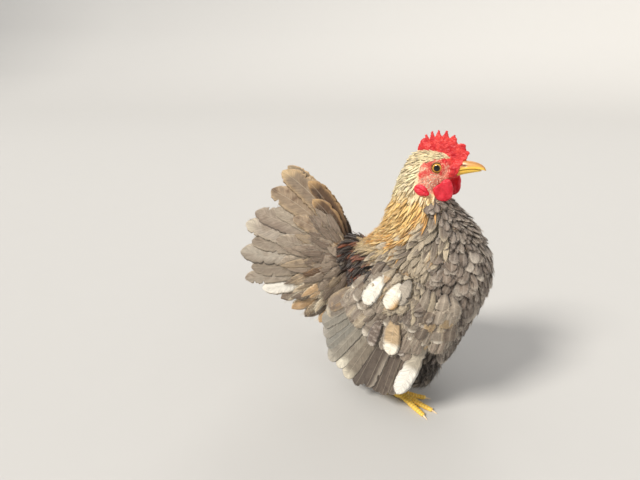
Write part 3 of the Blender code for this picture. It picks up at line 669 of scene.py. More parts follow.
def offSheet(half, side, x, z, lift, step=0.5):
    # points lifted off a sheet that is given as a half width over (x, z)
    dx = (half(x + step, z) - half(x - step, z)) / (2 * step)
    dz = (half(x, z + step) - half(x, z - step)) / (2 * step)
    normal = unit(np.stack([-dx, np.ones_like(dx), -dz], axis=-1))
    points = np.stack([x, half(x, z), z], axis=-1) + normal * np.asarray(lift)[..., None]
    points[..., 1] *= side
    return points


def armShape(side):
    along = (wrist - elbow) / np.linalg.norm(wrist - elbow)
    down = np.array((along[1], -along[0]))
    middle = elbow + along * armForm["centre"] - down * armForm["rise"]

    def place(share, turn):
        size = math.sin(pi * share) ** 0.8
        at = middle + (
            along * math.cos(turn) * (armForm["length"] - armForm["depth"])
            + down * math.sin(turn) * (armForm["height"] - armForm["depth"])
        ) * size
        lift = armForm["lift"] + (armForm["swell"] + 1.0) * math.cos(pi * share) - armForm["depth"] * 0.5
        return tuple(offSheet(wingHalf, side, np.array(at[0]), np.array(at[1]), np.array(lift)))

    return drawn(*armForm["mesh"], place)


def rumpShape():
    lean = Matrix.Rotation(math.radians(rumpForm["lean"]), 3, "Y")

    def place(share, turn):
        out = Vector(a * b for a, b in zip(onBall(share, turn), rumpForm["radii"]))
        return tuple(Vector(rumpForm["centre"]) + lean @ out)

    return drawn(*rumpForm["mesh"], place)


def headLine(x):
    return 184.0 - (x + 21.0) * 5.0 / 41.0


# the lower edge of the hackle in side view, as (x, z)
hackleEdge = curve((
    (-40, 134), (-31, 139.5), (-12, 144.5), (0, 146.5), (4, 151), (8.5, 162), (13, 176), (18, 188), (30, 196),
))


def outsideTrunk(x, y, z):
    # on a thigh, an arm or the rump rather than on the trunk's own skin
    if z > trunk["neckFrom"]:
        return False
    if z < trunkLow + 0.5:
        return True
    depth = float(skinDepth(z))
    back, front = float(sliceBack(z)) + depth, float(sliceFront(z)) - depth
    half = float(sliceHalf(z)) - depth
    return (abs(2 * x - back - front) / (front - back)) ** 2.3 + (abs(y) / half) ** 2.3 > 1.04


def unwrapped(point, middle, normal):
    # a place on the skin's unwrap, for a corner of the face that lies round middle
    x, y, z = point
    if outsideTrunk(*middle):
        column = 2 * (middle[1] > 0) + (normal[1] * middle[1] > 0)
        return 0.005 + 0.25 * column + 0.24 * (x + 80) / 140, 0.005 + 0.14 * (z - 15) / 125
    turns = []
    for px, py, pz in (point, middle):
        centre = (float(sliceBack(pz)) + float(sliceFront(pz))) / 2
        turns.append(math.atan2(py, px - centre) / (2 * pi) + 0.5)
    around = turns[0] + round(turns[1] - turns[0])
    up = float(np.interp(z, ringHeights, np.linspace(0.0, 1.0, len(ringHeights))))
    return 0.01 + 0.98 * around, 0.16 + 0.83 * up


# markings of the coat, as seen on screen
tones = {
    "crown": (255, 234, 186),
    "cheek": (255, 236, 206),
    "nape": (255, 236, 190),
    "hackle": (250, 206, 128),
    "gold": (228, 172, 98),
    "breast": (150, 133, 119),
    "flank": (114, 100, 89),
    "shoulder": (200, 184, 160),
    "back": (214, 190, 148),
    "saddle": (50, 31, 19),
    # the thigh's dark tone is painted shade under the wing and the belly
    "thigh": (74, 64, 56),
    "belly": (104, 92, 82),
    "vent": (150, 132, 112),
    "rump": (122, 106, 93),
}
tones = {name: paint(*tone) for name, tone in tones.items()}

wingOutline = (
    (-26, 113), (-10, 112), (30, 93), (37, 80), (31, 48), (18, 31), (-20, 14), (-62, 36), (-66, 76),
)


def underWing(x, z):
    # whether a place in side view lies under the hanging wing
    inside = False
    for (x0, z0), (x1, z1) in zip(wingOutline, wingOutline[1:] + wingOutline[:1]):
        if (z0 > z) != (z1 > z) and x < x0 + (x1 - x0) * (z - z0) / (z1 - z0):
            inside = not inside
    return inside


def onThigh(x, y, z):
    if z > 72 or z < 19:
        return False
    side = 1 if y > 0 else -1
    back, front, half = float(thighBack(z)), float(thighFront(z)), float(thighHalf(z))
    across = (x - (back + front) / 2 - footShift(side) * thighForm["follow"]) / ((front - back) / 2)
    return across**2 + ((abs(y) - thighForm["y"]) / half) ** 2 < 1.05 and outsideTrunk(x, y, z)


def regionOf(x, y, z):
    if z > headLine(x) - 1 or z > 180 and x > 16:
        if z > 203.8 - 0.15 * max(0.0, x) or z > 198.5 and x < 4:
            return "crown"
        return "cheek" if x > 1.0 else "nape"
    if z > float(hackleEdge(x)):
        return "nape" if z > 176 else "hackle"
    if onThigh(x, y, z):
        return "thigh"
    if x < -52 and z > 84:
        return "rump"
    if z < 52:
        return "vent" if x < -14 else "belly"
    if x < -18 and z < 84:
        return "vent"
    if z > 100 and x < mix(-26, -8, ease(106, 138, z)):
        return "saddle"
    if x < mix(14, 26, ease(90, 130, z)) and z > 78 and (abs(y) > 14 or x < 0):
        return "shoulder"
    return "throat" if z > 148 else "breast"


def toneOf(kind, x, y, z):
    if kind == "hackle":
        low = float(hackleEdge(x))
        return mix(tones["gold"], tones["hackle"], ease(low - 1, low + 26, z))
    if kind == "nape":
        return mix(tones["hackle"], tones["nape"], ease(168, 188, z))
    if kind in ("breast", "throat"):
        return mix(tones["flank"], tones["breast"], ease(70, 120, z))
    if kind == "saddle":
        return mix(tones["saddle"], tones["back"], ease(131, 138, z))
    if kind == "shoulder":
        return mix(tones["flank"], tones["shoulder"], ease(88, 118, z))
    return tones[kind]


def lieOf(x, y, z):
    # which way feathers lie before they are laid on the skin
    if z > 176:
        lean = mix(0.30, 2.4, ease(176, 199, z))
    else:
        lean = mix(0.14, 1.4, ease(44, -48, x))
        lean *= mix(0.35, 1.0, ease(168, 138, z))
    # outward, over the top of the folded wing
    aside = 0.9 * ease(104, 112, z) * ease(140, 128, z) * ease(24, 32, abs(y))
    return Vector((-lean, math.copysign(aside, y), -1.0))


def skinTone(x, y, z, out):
    kind = regionOf(x, y, z)
    if kind == "cheek":
        return paint(224, 142, 121)
    # under the coat the skin is a darker copy of the feathers' tone: partly the darker down at the feathers'
    # roots, partly painted shade in the gaps between feathers
    return toneOf(kind, x, y, z) * (0.8 if kind in ("crown", "nape", "hackle") else 0.45)


def buildSkin():
    skin = finished(faceShaped(trunkShape()), "skin")
    parts = [thighShape(1), thighShape(-1), armShape(1), armShape(-1), rumpShape()]
    fused(skin, [finished(part, "part") for part in parts])
    painted(skin, "tone", skinTone)
    painted(skin, "bare", lambda x, y, z, out: bareness(x, y, z))
    mesh = skin.data
    mapped = mesh.uv_layers.new(name="OFBake")
    for face in mesh.polygons:
        middle = birdSize(face.center)
        for corner in face.loop_indices:
            point = birdSize(mesh.vertices[mesh.loops[corner].vertex_index].co)
            mapped.data[corner].uv = unwrapped(point, middle, face.normal)
    return placedOn(skin, skinFinish(), ("torso", "neck", "head", "thigh_left", "thigh_right"))


def pebbles(tree, place, scale, strength, distance):
    # small round bumps of bare skin
    cells = node(tree, "TexVoronoi", {"Vector": place, "Scale": scale}, feature="SMOOTH_F1")
    grain = clouds(tree, place, scale * 0.35, 4.0)
    return bumped(tree, sums(tree, "SUBTRACT", grain, cells.outputs["Distance"]), strength, distance)


def skinFinish():
    material, tree = newMaterial("skin")
    place = onObject(tree)
    red = mixed(tree, clouds(tree, place, 260.0, 5.0), screen(190, 30, 38), screen(222, 86, 72))
    bare = ownMark(tree, "bare")
    # pale specks where short bristles leave the pink skin
    specks = node(tree, "TexVoronoi", {"Vector": place, "Scale": 1050.0, "Randomness": 0.9})
    dots = ranged(tree, specks.outputs["Distance"], 0.46, 0.26)
    few = sums(tree, "MULTIPLY", dots, ranged(tree, bare, 0.0, 1.0, 0.75, 0.32))
    colour = mixed(tree, bare, ownMark(tree, "tone", "Color"), red)
    return finish(material, {
        "Base Color": mixed(tree, few, colour, screen(255, 226, 190)),
        "Normal": pebbles(tree, place, 1500.0, 0.6, 0.0004),
        "Roughness": 0.5,
        **glow(0.15, 0.0022, 0.0008, 0.0005),
    })


# feathers
bakePatch = 0.003  # each feather's share of the unwrap


def ringMesh(name, points, tint, across, along, caps, roots, material, replaced=()):
    # closed strips in one mesh: points and tint are (strip, row, place in ring, xyz)
    count, rows, ring = points.shape[:3]
    row, place = np.meshgrid(np.arange(rows - 1), np.arange(ring), indexing="ij")
    a, b = row * ring + place, row * ring + (place + 1) % ring
    fours = np.stack([a, b, b + ring, a + ring], axis=-1).reshape(-1, 4)
    threes = []
    last = (rows - 1) * ring
    for cap in caps:
        if len(cap) == 4:
            fours = np.concatenate([fours, [cap, [last + c for c in reversed(cap)]]])
        else:
            threes += [cap, [last + c for c in reversed(cap)]]
    threes = np.array(threes, dtype=int).reshape(-1, 3)
    middle = rows // 2
    across0 = points[:, middle, 1] - points[:, middle, 0]
    along0 = points[:, middle, 0] - points[:, middle - 1, 0]
    out = points[:, middle, 1] - points[:, middle, -1]
    if np.mean(np.sum(np.cross(across0, along0) * out, axis=-1)) < 0:
        fours, threes = fours[:, ::-1], threes[:, ::-1]
    start = (np.arange(count) * rows * ring)[:, None]
    corners = np.concatenate([(start + part.reshape(1, -1)).ravel() for part in (fours, threes)])
    quads, triangles = count * len(fours), count * len(threes)
    starts = np.concatenate([np.arange(quads) * 4, quads * 4 + np.arange(triangles) * 3])
    mesh = filledMesh(name, points, corners, starts)
    u = np.broadcast_to(across, (count, rows, ring)).reshape(-1)[corners]
    v = np.broadcast_to(along[:, None], (count, rows, ring)).reshape(-1)[corners]
    vane = mesh.uv_layers.new(name="vane")
    vane.data.foreach_set("uv", np.stack([u, v], axis=-1).astype(np.float32).ravel())
    owner = corners // (rows * ring)
    baked = mesh.uv_layers.new(name="OFBake")
    where = np.asarray(roots)[owner] + (np.stack([u, v], axis=-1) - 0.5) * bakePatch
    baked.data.foreach_set("uv", where.astype(np.float32).ravel())
    plume = mesh.attributes.new("plume", "FLOAT_COLOR", "POINT")
    colours = np.concatenate([tint, np.ones((*tint.shape[:3], 1))], axis=-1)
    plume.data.foreach_set("color", np.clip(colours, 0, 1).astype(np.float32).ravel())
    luck = mesh.attributes.new("luck", "FLOAT", "POINT")
    luck.data.foreach_set("value", np.repeat(draw.random(count), rows * ring).astype(np.float32))
    mesh.validate()
    return placedOn(pieceOf(mesh, name), material, replaced)


def joined(name, tops, bottoms, tint, along, roots, material, slot, replaced=()):
    # vanes: the rim is shared by the top and the underside
    columns = tops.shape[2]
    points = np.concatenate([tops, bottoms[:, :, -2:0:-1]], axis=2)
    tint = np.concatenate([tint, tint[:, :, -2:0:-1] * 0.85], axis=2)
    share = np.linspace(0.0, 1.0, columns)
    ring = 2 * columns - 2
    caps = [[0, ring - 1, 1], [columns - 2, columns, columns - 1]]
    caps += [[j, ring - j, ring - j - 1, j + 1] for j in range(1, columns - 2)]
    across = np.concatenate([share, share[-2:0:-1]])
    return ringMesh(name, points, tint, across, along, caps, roots, material, replaced)


# the coat's feathers, in mm: gap between roots, length, width, lift of root and tip over the skin,
# rows and columns of the vane, how far its sides droop, how far it strays in radians, outline
rounded = ((0, 0.30), (0.2, 0.66), (0.5, 0.95), (0.74, 1.0), (0.9, 0.78), (1, 0.22))
pointed = ((0, 0.35), (0.2, 0.72), (0.5, 1.0), (0.75, 0.86), (0.92, 0.46), (1, 0.10))
lance = ((0, 0.45), (0.25, 0.95), (0.55, 1.0), (0.8, 0.66), (1, 0.08))
coat = {
    "crown": (0.85, (3.2, 5.4), (1.1, 1.7), (-0.25, 0.55), 5, 3, 0.10, 0.20, lance),
    "cheek": (1.6, (1.0, 2.2), (0.5, 0.9), (-0.05, 0.30), 4, 3, 0.05, 0.50, lance),
    "nape": (1.15, (6.0, 10.0), (1.6, 2.5), (-0.45, 1.15), 7, 3, 0.10, 0.20, lance),
    "hackle": (1.40, (12.0, 22.0), (2.0, 3.4), (-0.60, 3.20), 9, 3, 0.10, 0.18, lance),
    "breast": (3.5, (12.0, 19.0), (6.0, 10.5), (-0.80, 3.40), 10, 7, 0.06, 0.27, rounded),
    "throat": (2.3, (7.0, 12.0), (3.6, 5.6), (-0.60, 2.40), 9, 5, 0.08, 0.25, rounded),
    "shoulder": (3.1, (16.0, 27.0), (4.6, 8.0), (-0.70, 3.80), 10, 7, 0.06, 0.20, pointed),
    "saddle": (2.3, (14.0, 22.0), (2.6, 4.6), (-0.60, 3.40), 10, 5, 0.08, 0.20, pointed),
    "thigh": (3.0, (9.0, 13.0), (4.0, 6.0), (-0.60, 1.80), 9, 5, 0.08, 0.28, pointed),
    "belly": (3.2, (10.0, 14.0), (4.5, 6.5), (-0.60, 1.90), 9, 5, 0.08, 0.28, rounded),
    "vent": (3.0, (12.0, 17.0), (4.0, 6.0), (-0.60, 2.20), 9, 5, 0.08, 0.28, pointed),
    "rump": (2.8, (13.0, 19.0), (4.0, 6.0), (-0.60, 2.60), 9, 5, 0.08, 0.24, pointed),
}
# strands of a kind: on each side of a feather, their length and thickness in mm, and how wide they spread
fringes = {
    "breast": (7, (1.8, 4.0), 0.11, 0.6),
    "throat": (3, (1.4, 2.8), 0.09, 0.6),
    "shoulder": (6, (2.0, 4.5), 0.11, 0.5),
    "saddle": (5, (2.0, 4.2), 0.10, 0.4),
    "hackle": (2, (2.0, 4.0), 0.09, 0.35),
    "nape": (1, (1.2, 2.4), 0.08, 0.5),
    "thigh": (9, (3.0, 6.5), 0.11, 0.75),
    "belly": (8, (3.0, 6.0), 0.11, 0.75),
    "vent": (9, (3.5, 7.0), 0.11, 0.7),
    "rump": (9, (3.5, 7.0), 0.11, 0.65),
    "cheek": (0, (1.0, 2.0), 0.06, 0.3),
}


triesPerRoot = 7


def scattered(skin):
    # roots of the coat: places on the skin no nearer each other than their kind's gap
    mesh = skin.data
    mesh.calc_loop_triangles()
    corners = np.array([birdSize(vertex.co) for vertex in mesh.vertices])
    triangles = np.array([t.vertices[:] for t in mesh.loop_triangles])
    a, b, c = (corners[triangles[:, k]] for k in range(3))
    normals = np.cross(b - a, c - a)
    area = np.linalg.norm(normals, axis=1) / 2
    normals = unit(normals)
    middle = (a + b + c) / 3
    # in order of place, so that each run draws the same roots
    order = np.lexsort(np.round(middle, 3).T)
    a, b, c, normals, area, middle = (part[order] for part in (a, b, c, normals, area, middle))
    kinds = [regionOf(*m) for m in middle]
    weights = area / np.array([coat[kind][0] for kind in kinds]) ** 2
    total = int(weights.sum() * triesPerRoot)
    picks = draw.choice(len(weights), total, p=weights / weights.sum())
    share = draw.random((total, 2))
    over = share.sum(axis=1) > 1
    share[over] = 1 - share[over]
    places = a[picks] + (b - a)[picks] * share[:, :1] + (c - a)[picks] * share[:, 1:]
    found = {kind: [] for kind in coat}
    cells = {}
    for place, pick in zip(places, picks):
        kind, normal = kinds[pick], normals[pick]
        gap = coat[kind][0]
        x, y, z = place
        if bareness(x, y, z) > 0.45 or z > 203.5 and abs(y) < 2.6:
            continue
        if kind != "thigh" and z < 102 and abs(y) > 24 and underWing(x, z):
            continue
        cell = tuple(int(v) for v in place // gap)
        near = [
            other
            for i in (-1, 0, 1) for j in (-1, 0, 1) for k in (-1, 0, 1)
            for other in cells.get((kind, cell[0] + i, cell[1] + j, cell[2] + k), ())
        ]
        if any((x - o[0]) ** 2 + (y - o[1]) ** 2 + (z - o[2]) ** 2 < gap * gap for o in near):
            continue
        cells.setdefault((kind, *cell), []).append((x, y, z))
        found[kind].append((place, unwrapped(place, place, normal)))
    return found


lieSteps = 5  # along each feather


def traced(tree, root, length, stray, steps):
    # a line that lies along the skin from a root, with the skin's normals
    at, out = tree.find_nearest(spot(*root))[:2]
    line, normals = [birdSize(at)], [tuple(out)]
    for step in range(steps):
        ahead = lieOf(*birdSize(at))
        ahead -= out * ahead.dot(out)
        ahead.normalize()
        ahead.rotate(Matrix.Rotation(stray, 3, out))
        at, fresh = tree.find_nearest(at + ahead * length / steps * mm)[:2]
        out = (out + fresh).normalized()
        line.append(birdSize(at))
        normals.append(tuple(out))
    return line, normals


def stretched(values, shares):
    # values at even steps along axis 1, read off at other shares of the way
    steps = values.shape[1] - 1
    at = np.clip(shares, 0, 1) * steps
    low = np.minimum(at.astype(int), steps - 1)
    part = (at - low)[None, :, None]
    return values[:, low] * (1 - part) + values[:, low + 1] * part


def plumage(tree, kind, roots):
    lengths, widths, rise, rows, columns, droop, stray, outline = coat[kind][1:]
    count = len(roots)
    length = draw.uniform(*lengths, count)
    width = draw.uniform(*widths, count)
    lines = [traced(tree, root[0], far, draw.normal(0, stray), lieSteps) for root, far in zip(roots, length)]
    shares = np.linspace(0, 1, rows) ** 0.9
    centre = stretched(np.array([line for line, normals in lines]), shares)
    up = unit(stretched(np.array([normals for line, normals in lines]), shares))
    ahead = unit(np.gradient(centre, axis=1))
    side = unit(np.cross(ahead, up))
    c = np.linspace(-1, 1, columns)
    spread = np.interp(shares, *zip(*outline))
    half = width[:, None] / 2 * spread[None] * draw.uniform(0.95, 1.05, (count, rows))
    lift = rise[0] + (rise[1] - rise[0]) * shares[None] + draw.normal(0, 0.15, count)[:, None]
    lift = lift + (draw.random(count) ** 3)[:, None] * 1.6 * shares[None]
    roll = draw.normal(0, 0.16, count)[:, None, None]
    height = lift[..., None] + roll * half[..., None] * c - droop * 2 * half[..., None] * c * c
    rag = 1 + draw.normal(0, 0.07, (count, rows, columns)) * (np.abs(c) > 0.9)
    tops = centre[:, :, None] + side[:, :, None] * (half[..., None] * c * rag)[..., None]
    tops = tops + up[:, :, None] * height[..., None]
    swept = 0.22 * half[..., None] * np.abs(c) * (0.5 - shares)[None, :, None] * 2
    tops = tops + ahead[:, :, None] * swept[..., None]
    thick = 0.16 if columns > 3 else 0.14
    bottoms = tops - up[:, :, None] * (thick * (1 - 0.4 * shares))[None, :, None, None]
    return tops, bottoms, shares, c


def strands(name, starts, ahead, bend, up, length, thick, tint, roots, material):
    # fine barbs as three-sided blades: each starts at a place, runs ahead and bends
    t = np.array((0.0, 0.55, 1.0))[None, :, None]
    reach = length[:, None, None]
    line = starts[:, None] + reach * (ahead[:, None] * t + bend[:, None] * t * t)
    way = unit(ahead[:, None] + 2 * bend[:, None] * t)
    side = unit(np.cross(way, up[:, None]))
    over = np.cross(side, way)
    radius = thick[:, None, None] * (1 - 0.85 * t)
    turns = (pi / 2, -pi / 6, -5 * pi / 6)
    ring = [line + radius * (side * math.cos(turn) + over * math.sin(turn)) for turn in turns]
    points = np.stack(ring, axis=2)
    colours = tint[:, None, None] * (0.72 + 0.34 * t)[..., None]
    colours = np.broadcast_to(colours, points.shape)
    across = np.array((0.3, 0.5, 0.7))
    return ringMesh(name, points, colours, across, t[0, :, 0], [[0, 2, 1]], roots, material)


def fringed(name, made, tint, roots, plan, material):
    # barbs that stand loose round the rims of a batch of vanes
    tops, bottoms = made[:2]
    each, lengths, thick, spread = plan
    count, rows, columns = tops.shape[:3]
    middle = columns // 2
    out = unit(tops[:, :, middle] - bottoms[:, :, middle])
    parts = []
    for edge in (0, columns - 1):
        at = (0.30 + 0.69 * draw.random((count, each)) ** 0.7) * (rows - 1)
        low = np.minimum(at.astype(int), rows - 2)
        share = (at - low)[..., None]
        who = np.arange(count)[:, None]
        rim = tops[who, low, edge] * (1 - share) + tops[who, low + 1, edge] * share
        shaft = tops[who, low, middle] * (1 - share) + tops[who, low + 1, middle] * share
        start = rim + (shaft - rim) * 0.25
        ahead = unit(tops[who, low + 1, middle] - tops[who, low, middle])
        aside = unit(rim - shaft)
        wide = spread * draw.uniform(0.5, 1.3, (count, each, 1))
        parts.append((
            start, unit(ahead + aside * wide + out[who, low] * draw.normal(0.02, 0.10, (count, each, 1))),
            ahead * 0.15 - aside * 0.1 * wide, out[who, low], tint[who, low + 1, edge],
            np.broadcast_to(np.arange(count)[:, None], (count, each)),
        ))
    *placed, owner = (np.concatenate(both) for both in zip(*parts))
    start, ahead, bend, up, colour = (values.reshape(-1, 3) for values in placed)
    owner = owner.ravel()
    length = draw.uniform(*lengths, len(start))
    colour = colour * draw.uniform(0.8, 1.25, (len(start), 1))
    return strands(
        name, start, ahead, bend, up, length, np.full(len(start), thick), colour,
        np.asarray(roots)[owner], material,
    )


def feathered(kind, roots, shares, c):
    # colours of each feather of a kind, by row and column
    count = len(roots)
    places = [place for place, mapped in roots]
    base = np.array([toneOf(kind, *place) for place in places])
    drift = np.array([noise.noise(Vector(place) * 0.11) for place in places])
    luck, other = draw.random(count), draw.random(count)
    base = base * (1 + 0.22 * drift + draw.normal(0, 0.07, count))[:, None]
    tint = np.broadcast_to(base[:, None, None], (count, len(shares), len(c), 3)).copy()
    s, a = shares[None, :, None], np.abs(c)[None, None]

    def blend(colour, amount):
        tint[:] = tint + (paint(*colour) - tint) * np.clip(amount, 0, 1)[..., None]

    def some(share, values=luck):
        return (values < share)[:, None, None] * np.ones_like(s * a)

    # painted shade: each feather darker towards its root, where the feathers that lie over it shadow it
    paintedRootShade = {"crown": 1.0, "cheek": 1.0, "nape": 1.0, "hackle": 0.75, "shoulder": 0.5}.get(kind, 0.36)
    tint *= (paintedRootShade + (1 - paintedRootShade) * np.clip(s * 1.5, 0, 1))[..., None] * np.ones_like(a)[..., None]
    phase = draw.uniform(0, 2 * pi, (4, count, 1, 1))
    wave = np.sin(s * 9 + phase[0]) * np.sin(c * 3 + phase[1]) + 0.7 * np.sin(s * 21 + c * 5 + phase[2])
    blotch = np.clip(wave * 0.6, -1, 1)
    tip = np.clip((s - 0.78) / 0.22, 0, 1)
    rim = np.clip(np.maximum(tip, (a - 0.6) / 0.4 * np.clip(s * 2 - 0.5, 0, 1)), 0, 1)
    line = np.clip(1 - a * 3.2, 0, 1) * np.clip(s * 2, 0, 1)
    if kind == "crown":
        blend((84, 60, 40), some(0.22) * (1 - a) * 0.9)
    elif kind == "nape":
        blend((140, 96, 52), some(0.20) * (1 - a) * 0.7)
        blend((250, 234, 200), some(0.3, other) * 0.6)
    elif kind == "hackle":
        blend((118, 78, 38), some(0.34) * (1 - a) * s * 0.9)
        blend((252, 224, 160), some(0.36, other) * 0.7)
        blend((112, 76, 42), (0.10 + 0.3 * luck[:, None, None]) * np.clip(s - 0.5, 0, 1) * (1 - a))
    elif kind in ("breast", "belly", "throat"):
        blend((74, 60, 51), np.clip(blotch, 0, 1) * 0.6)
        blend((182, 168, 152), line * 0.6 * some(0.8))
        blend((222, 210, 194), rim * some(0.4) * 0.7)
        blend((64, 52, 44), np.clip(rim * 1.4, 0, 1) * some(0.30, 1 - luck) * 0.8)
        blend((176, 162, 147), np.clip(-blotch, 0, 1) * 0.5)
        blend((216, 204, 188), some(0.11, other) * np.clip(s * 2 - 0.8, 0, 1) * 0.8)
    elif kind == "shoulder":
        blend((196, 152, 98), some(0.18) * (0.4 + 0.5 * a))
        blend((232, 214, 182), some(0.24, other) * 0.8)
        blend((122, 109, 98), some(0.38, 1 - luck) * (1 - rim) * 0.9)
        blend((90, 76, 64), np.clip(blotch, 0, 1) * 0.4)
        blend((234, 218, 190), rim * 0.4)
    elif kind == "saddle":
        high = np.array([ease(131, 138, place[2]) for place in places])[:, None, None]
        blend((34, 20, 12), some(0.5) * (1 - rim) * 0.8 * (1 - high))
        rufous = some(0.34, other) * np.clip(s * 1.3 - 0.2, 0, 1) * (1 - 0.6 * a)
        blend((168, 84, 38), rufous * 0.9 * (1 - high))
        blend((240, 212, 160), some(0.4, other) * 0.7 * high)
        blend((120, 80, 44), some(0.3) * (1 - a) * 0.8 * high)
    else:
        blend((178, 164, 146), some(0.30) * np.clip(s * 1.3 - 0.3, 0, 1) * 0.6)
        blend((48, 40, 34), some(0.35, 1 - luck) * 0.5)
    if kind in ("vent", "rump"):
        blend((206, 160, 112), some(0.25, other) * 0.6)
    return tint


coatSlots = {"cheek": "face_skin", **{kind: "hackle" for kind in ("crown", "nape", "hackle", "saddle")}}


def buildCoat(skin):
    tree = BVHTree.FromObject(skin, bpy.context.evaluated_depsgraph_get())
    found = scattered(skin)
    fine = featherFinish("fine_feather", 16.0, 4.0, 0.10, 0.62, (250, 236, 210), 0.4, 0.45)
    broad = featherFinish("body_feather", 26.0, 8.0, 0.20, 0.66, (214, 200, 184), 0.7)
    loose = barbFinish("loose_barb")
    for kind, roots in found.items():
        if not roots:
            continue
        tops, bottoms, shares, c = plumage(tree, kind, roots)
        tint = feathered(kind, roots, shares, c)
        mapped = np.array([where for place, where in roots])
        left = np.array([place[1] > 0 for place, where in roots])
        material = fine if coat[kind][5] == 3 else broad
        slot = coatSlots.get(kind, "body_feather")
        for side, own in (("left", left), ("right", ~left)):
            if not own.any():
                continue
            made = tops[own], bottoms[own]
            joined(f"coat_{kind}_{side}", *made, tint[own], shares, mapped[own], material, slot)
            if fringes.get(kind, (0,))[0]:
                fringed(f"barbs_{kind}_{side}", made, tint[own], mapped[own], fringes[kind], loose)
        print("coat", kind, len(roots))


# flights, coverts and tail feathers, in sheets
vaneColumns = np.array([-1.0, -0.78, -0.52, -0.28, -0.07, 0.0, 0.07, 0.28, 0.52, 0.78, 1.0])
shortColumns = np.array([-1.0, -0.62, -0.10, 0.0, 0.10, 0.62, 1.0])
# outlines: share of the length, share of the width
narrowRoot = ((0, 0.14), (0.06, 0.30), (0.2, 0.72), (0.45, 0.96))
longOutline = (*narrowRoot, (0.75, 1.0), (0.92, 0.88), (0.98, 0.58), (1, 0.28))
tailOutline = (*narrowRoot, (0.7, 1.0), (0.87, 0.90), (0.95, 0.66), (1, 0.24))
softOutline = ((0, 0.3), (0.2, 0.8), (0.45, 1.0), (0.7, 0.86), (0.88, 0.5), (1, 0.1))
shortOutline = ((0, 0.3), (0.15, 0.62), (0.45, 0.96), (0.75, 1.0), (0.9, 0.82), (0.97, 0.48), (1, 0.14))


def sheetFeathers(half, side, lies, rows, outline=longOutline, lean=0.16, ragged=0.05):
    # closed vanes on a sheet. Each lie: root and tip (x, z), bow, width, lifts at root and tip, layer.
    c = vaneColumns if rows > 40 else shortColumns
    root, tip, bow, width, lifts = (np.array([lie[k] for lie in lies], dtype=float) for k in range(5))
    layer = lies[0][5]
    count = len(lies)
    s = np.linspace(0, 1, rows)
    s = s * (1.12 - 0.12 * s)
    along = unit(tip - root)
    across = np.stack([along[:, 1], -along[:, 0]], axis=-1)
    centre = root[:, None] + (tip - root)[:, None] * s[None, :, None]
    centre += across[:, None] * (bow[:, None] * 4 * s * (1 - s))[..., None]
    gaps = np.abs(np.sum((centre[1:] - centre[:-1]) * across[:-1, None], axis=-1))
    pitch = np.concatenate([gaps[:1], (gaps[1:] + gaps[:-1]) / 2, gaps[-1:]])
    tilt = -layer / np.maximum(pitch, 1.4) + (draw.normal(0, 0.06, (count, 1)) if layer == 0 else 0)
    spread = np.interp(s, *zip(*outline))
    reach = np.ones((count, rows, 2))
    reach += draw.normal(0, ragged * 0.4, reach.shape)
    for i in range(count):
        for edge in (0, 1):
            for split in range(draw.integers(0, 3) + (ragged > 0.08) * 2):
                at, wide = draw.uniform(0.3, 0.97), draw.uniform(0.008, 0.022)
                deep = draw.uniform(0.15, 0.5)
                reach[i, :, edge] *= 1 - deep * np.clip(1 - np.abs(s - at) / wide, 0, 1)
    reach = np.where(c[None, None] < 0, reach[..., :1], reach[..., 1:])
    reach = 1 + (reach - 1) * (np.abs(c) ** 2)[None, None]
    offset = (c * reach - lean * (1 - np.abs(c))) * (width[:, None] / 2 * spread)[..., None]
    swept = 0.10 * width[:, None, None] * np.abs(c) * (0.4 - s[None, :, None])
    x = centre[:, :, None, 0] + across[:, None, None, 0] * offset + along[:, None, None, 0] * swept
    z = centre[:, :, None, 1] + across[:, None, None, 1] * offset + along[:, None, None, 1] * swept
    lift = lifts[:, :1] + (lifts[:, 1:] - lifts[:, :1]) * np.minimum(1, s / 0.4)
    camber = 0.028 * width[:, None, None] * (1 - c * c) * spread[None, :, None]
    shaft = 0.22 * (1 - 0.75 * s)[None, :, None] * (np.abs(c) < 0.05)
    lift = lift[..., None] + tilt[..., None] * offset + camber + shaft
    tops = offSheet(half, side, x, z, lift)
    ups = offSheet(half, side, x, z, lift + 1) - tops
    thick = (0.42 - 0.2 * s)[None, :, None] * (1 - 0.45 * np.abs(c)) + shaft * 1.6
    return tops, tops - ups * thick[..., None], s, c


def sheetTint(marks, s, c, roots):
    # colours of each feather: base, tip and rim colours, mottling, and painted shade that darkens the root
    count = len(marks)
    shape = (count, len(s), len(c), 3)
    tint = np.zeros(shape)
    for i, mark in enumerate(marks):
        base = np.broadcast_to(paint(*mark["base"]), shape[1:]).copy()
        down, side = np.meshgrid(s, c, indexing="ij")
        phase = i * 3.71
        speckle = np.array([[grain(v * 13, u * 1.9, phase, 1) for u in c] for v in s])
        veins = np.array([[grain(v * 44 - abs(u) * 9, u * 1.2, phase + 9, 1) for u in c] for v in s])
        base *= (1 + 0.22 * speckle + 0.12 * veins)[..., None]
        for name, amount in (
            ("mottle", np.clip(speckle * 2.6 - 0.15, 0, 1) * mark.get("mottled", 0.6)),
            ("tip", np.clip((down - mark.get("from", 0.86)) / 0.12 + speckle * 0.5, 0, 1)),
            ("rim", np.clip((np.abs(side) - 0.74) / 0.2, 0, 1) * np.clip(down * 4 - 1, 0, 1)),
            ("lower", np.clip((-side - 0.3) / 0.4, 0, 1) * np.clip(down * 3 - 1, 0, 1)),
            ("line", np.clip(1 - np.abs(side) * 4, 0, 1) * 0.7),
        ):
            if name in mark:
                base += (paint(*mark[name]) - base) * amount[..., None]
        # painted shade: darker towards the root, under the feathers that lie over it
        base *= (0.62 + 0.38 * np.clip(down * 3.2, 0, 1))[..., None]
        base *= 1 + 0.24 * grain(roots[i][0] * 50, roots[i][1] * 76, 0, 1)
        tint[i] = base
    return tint


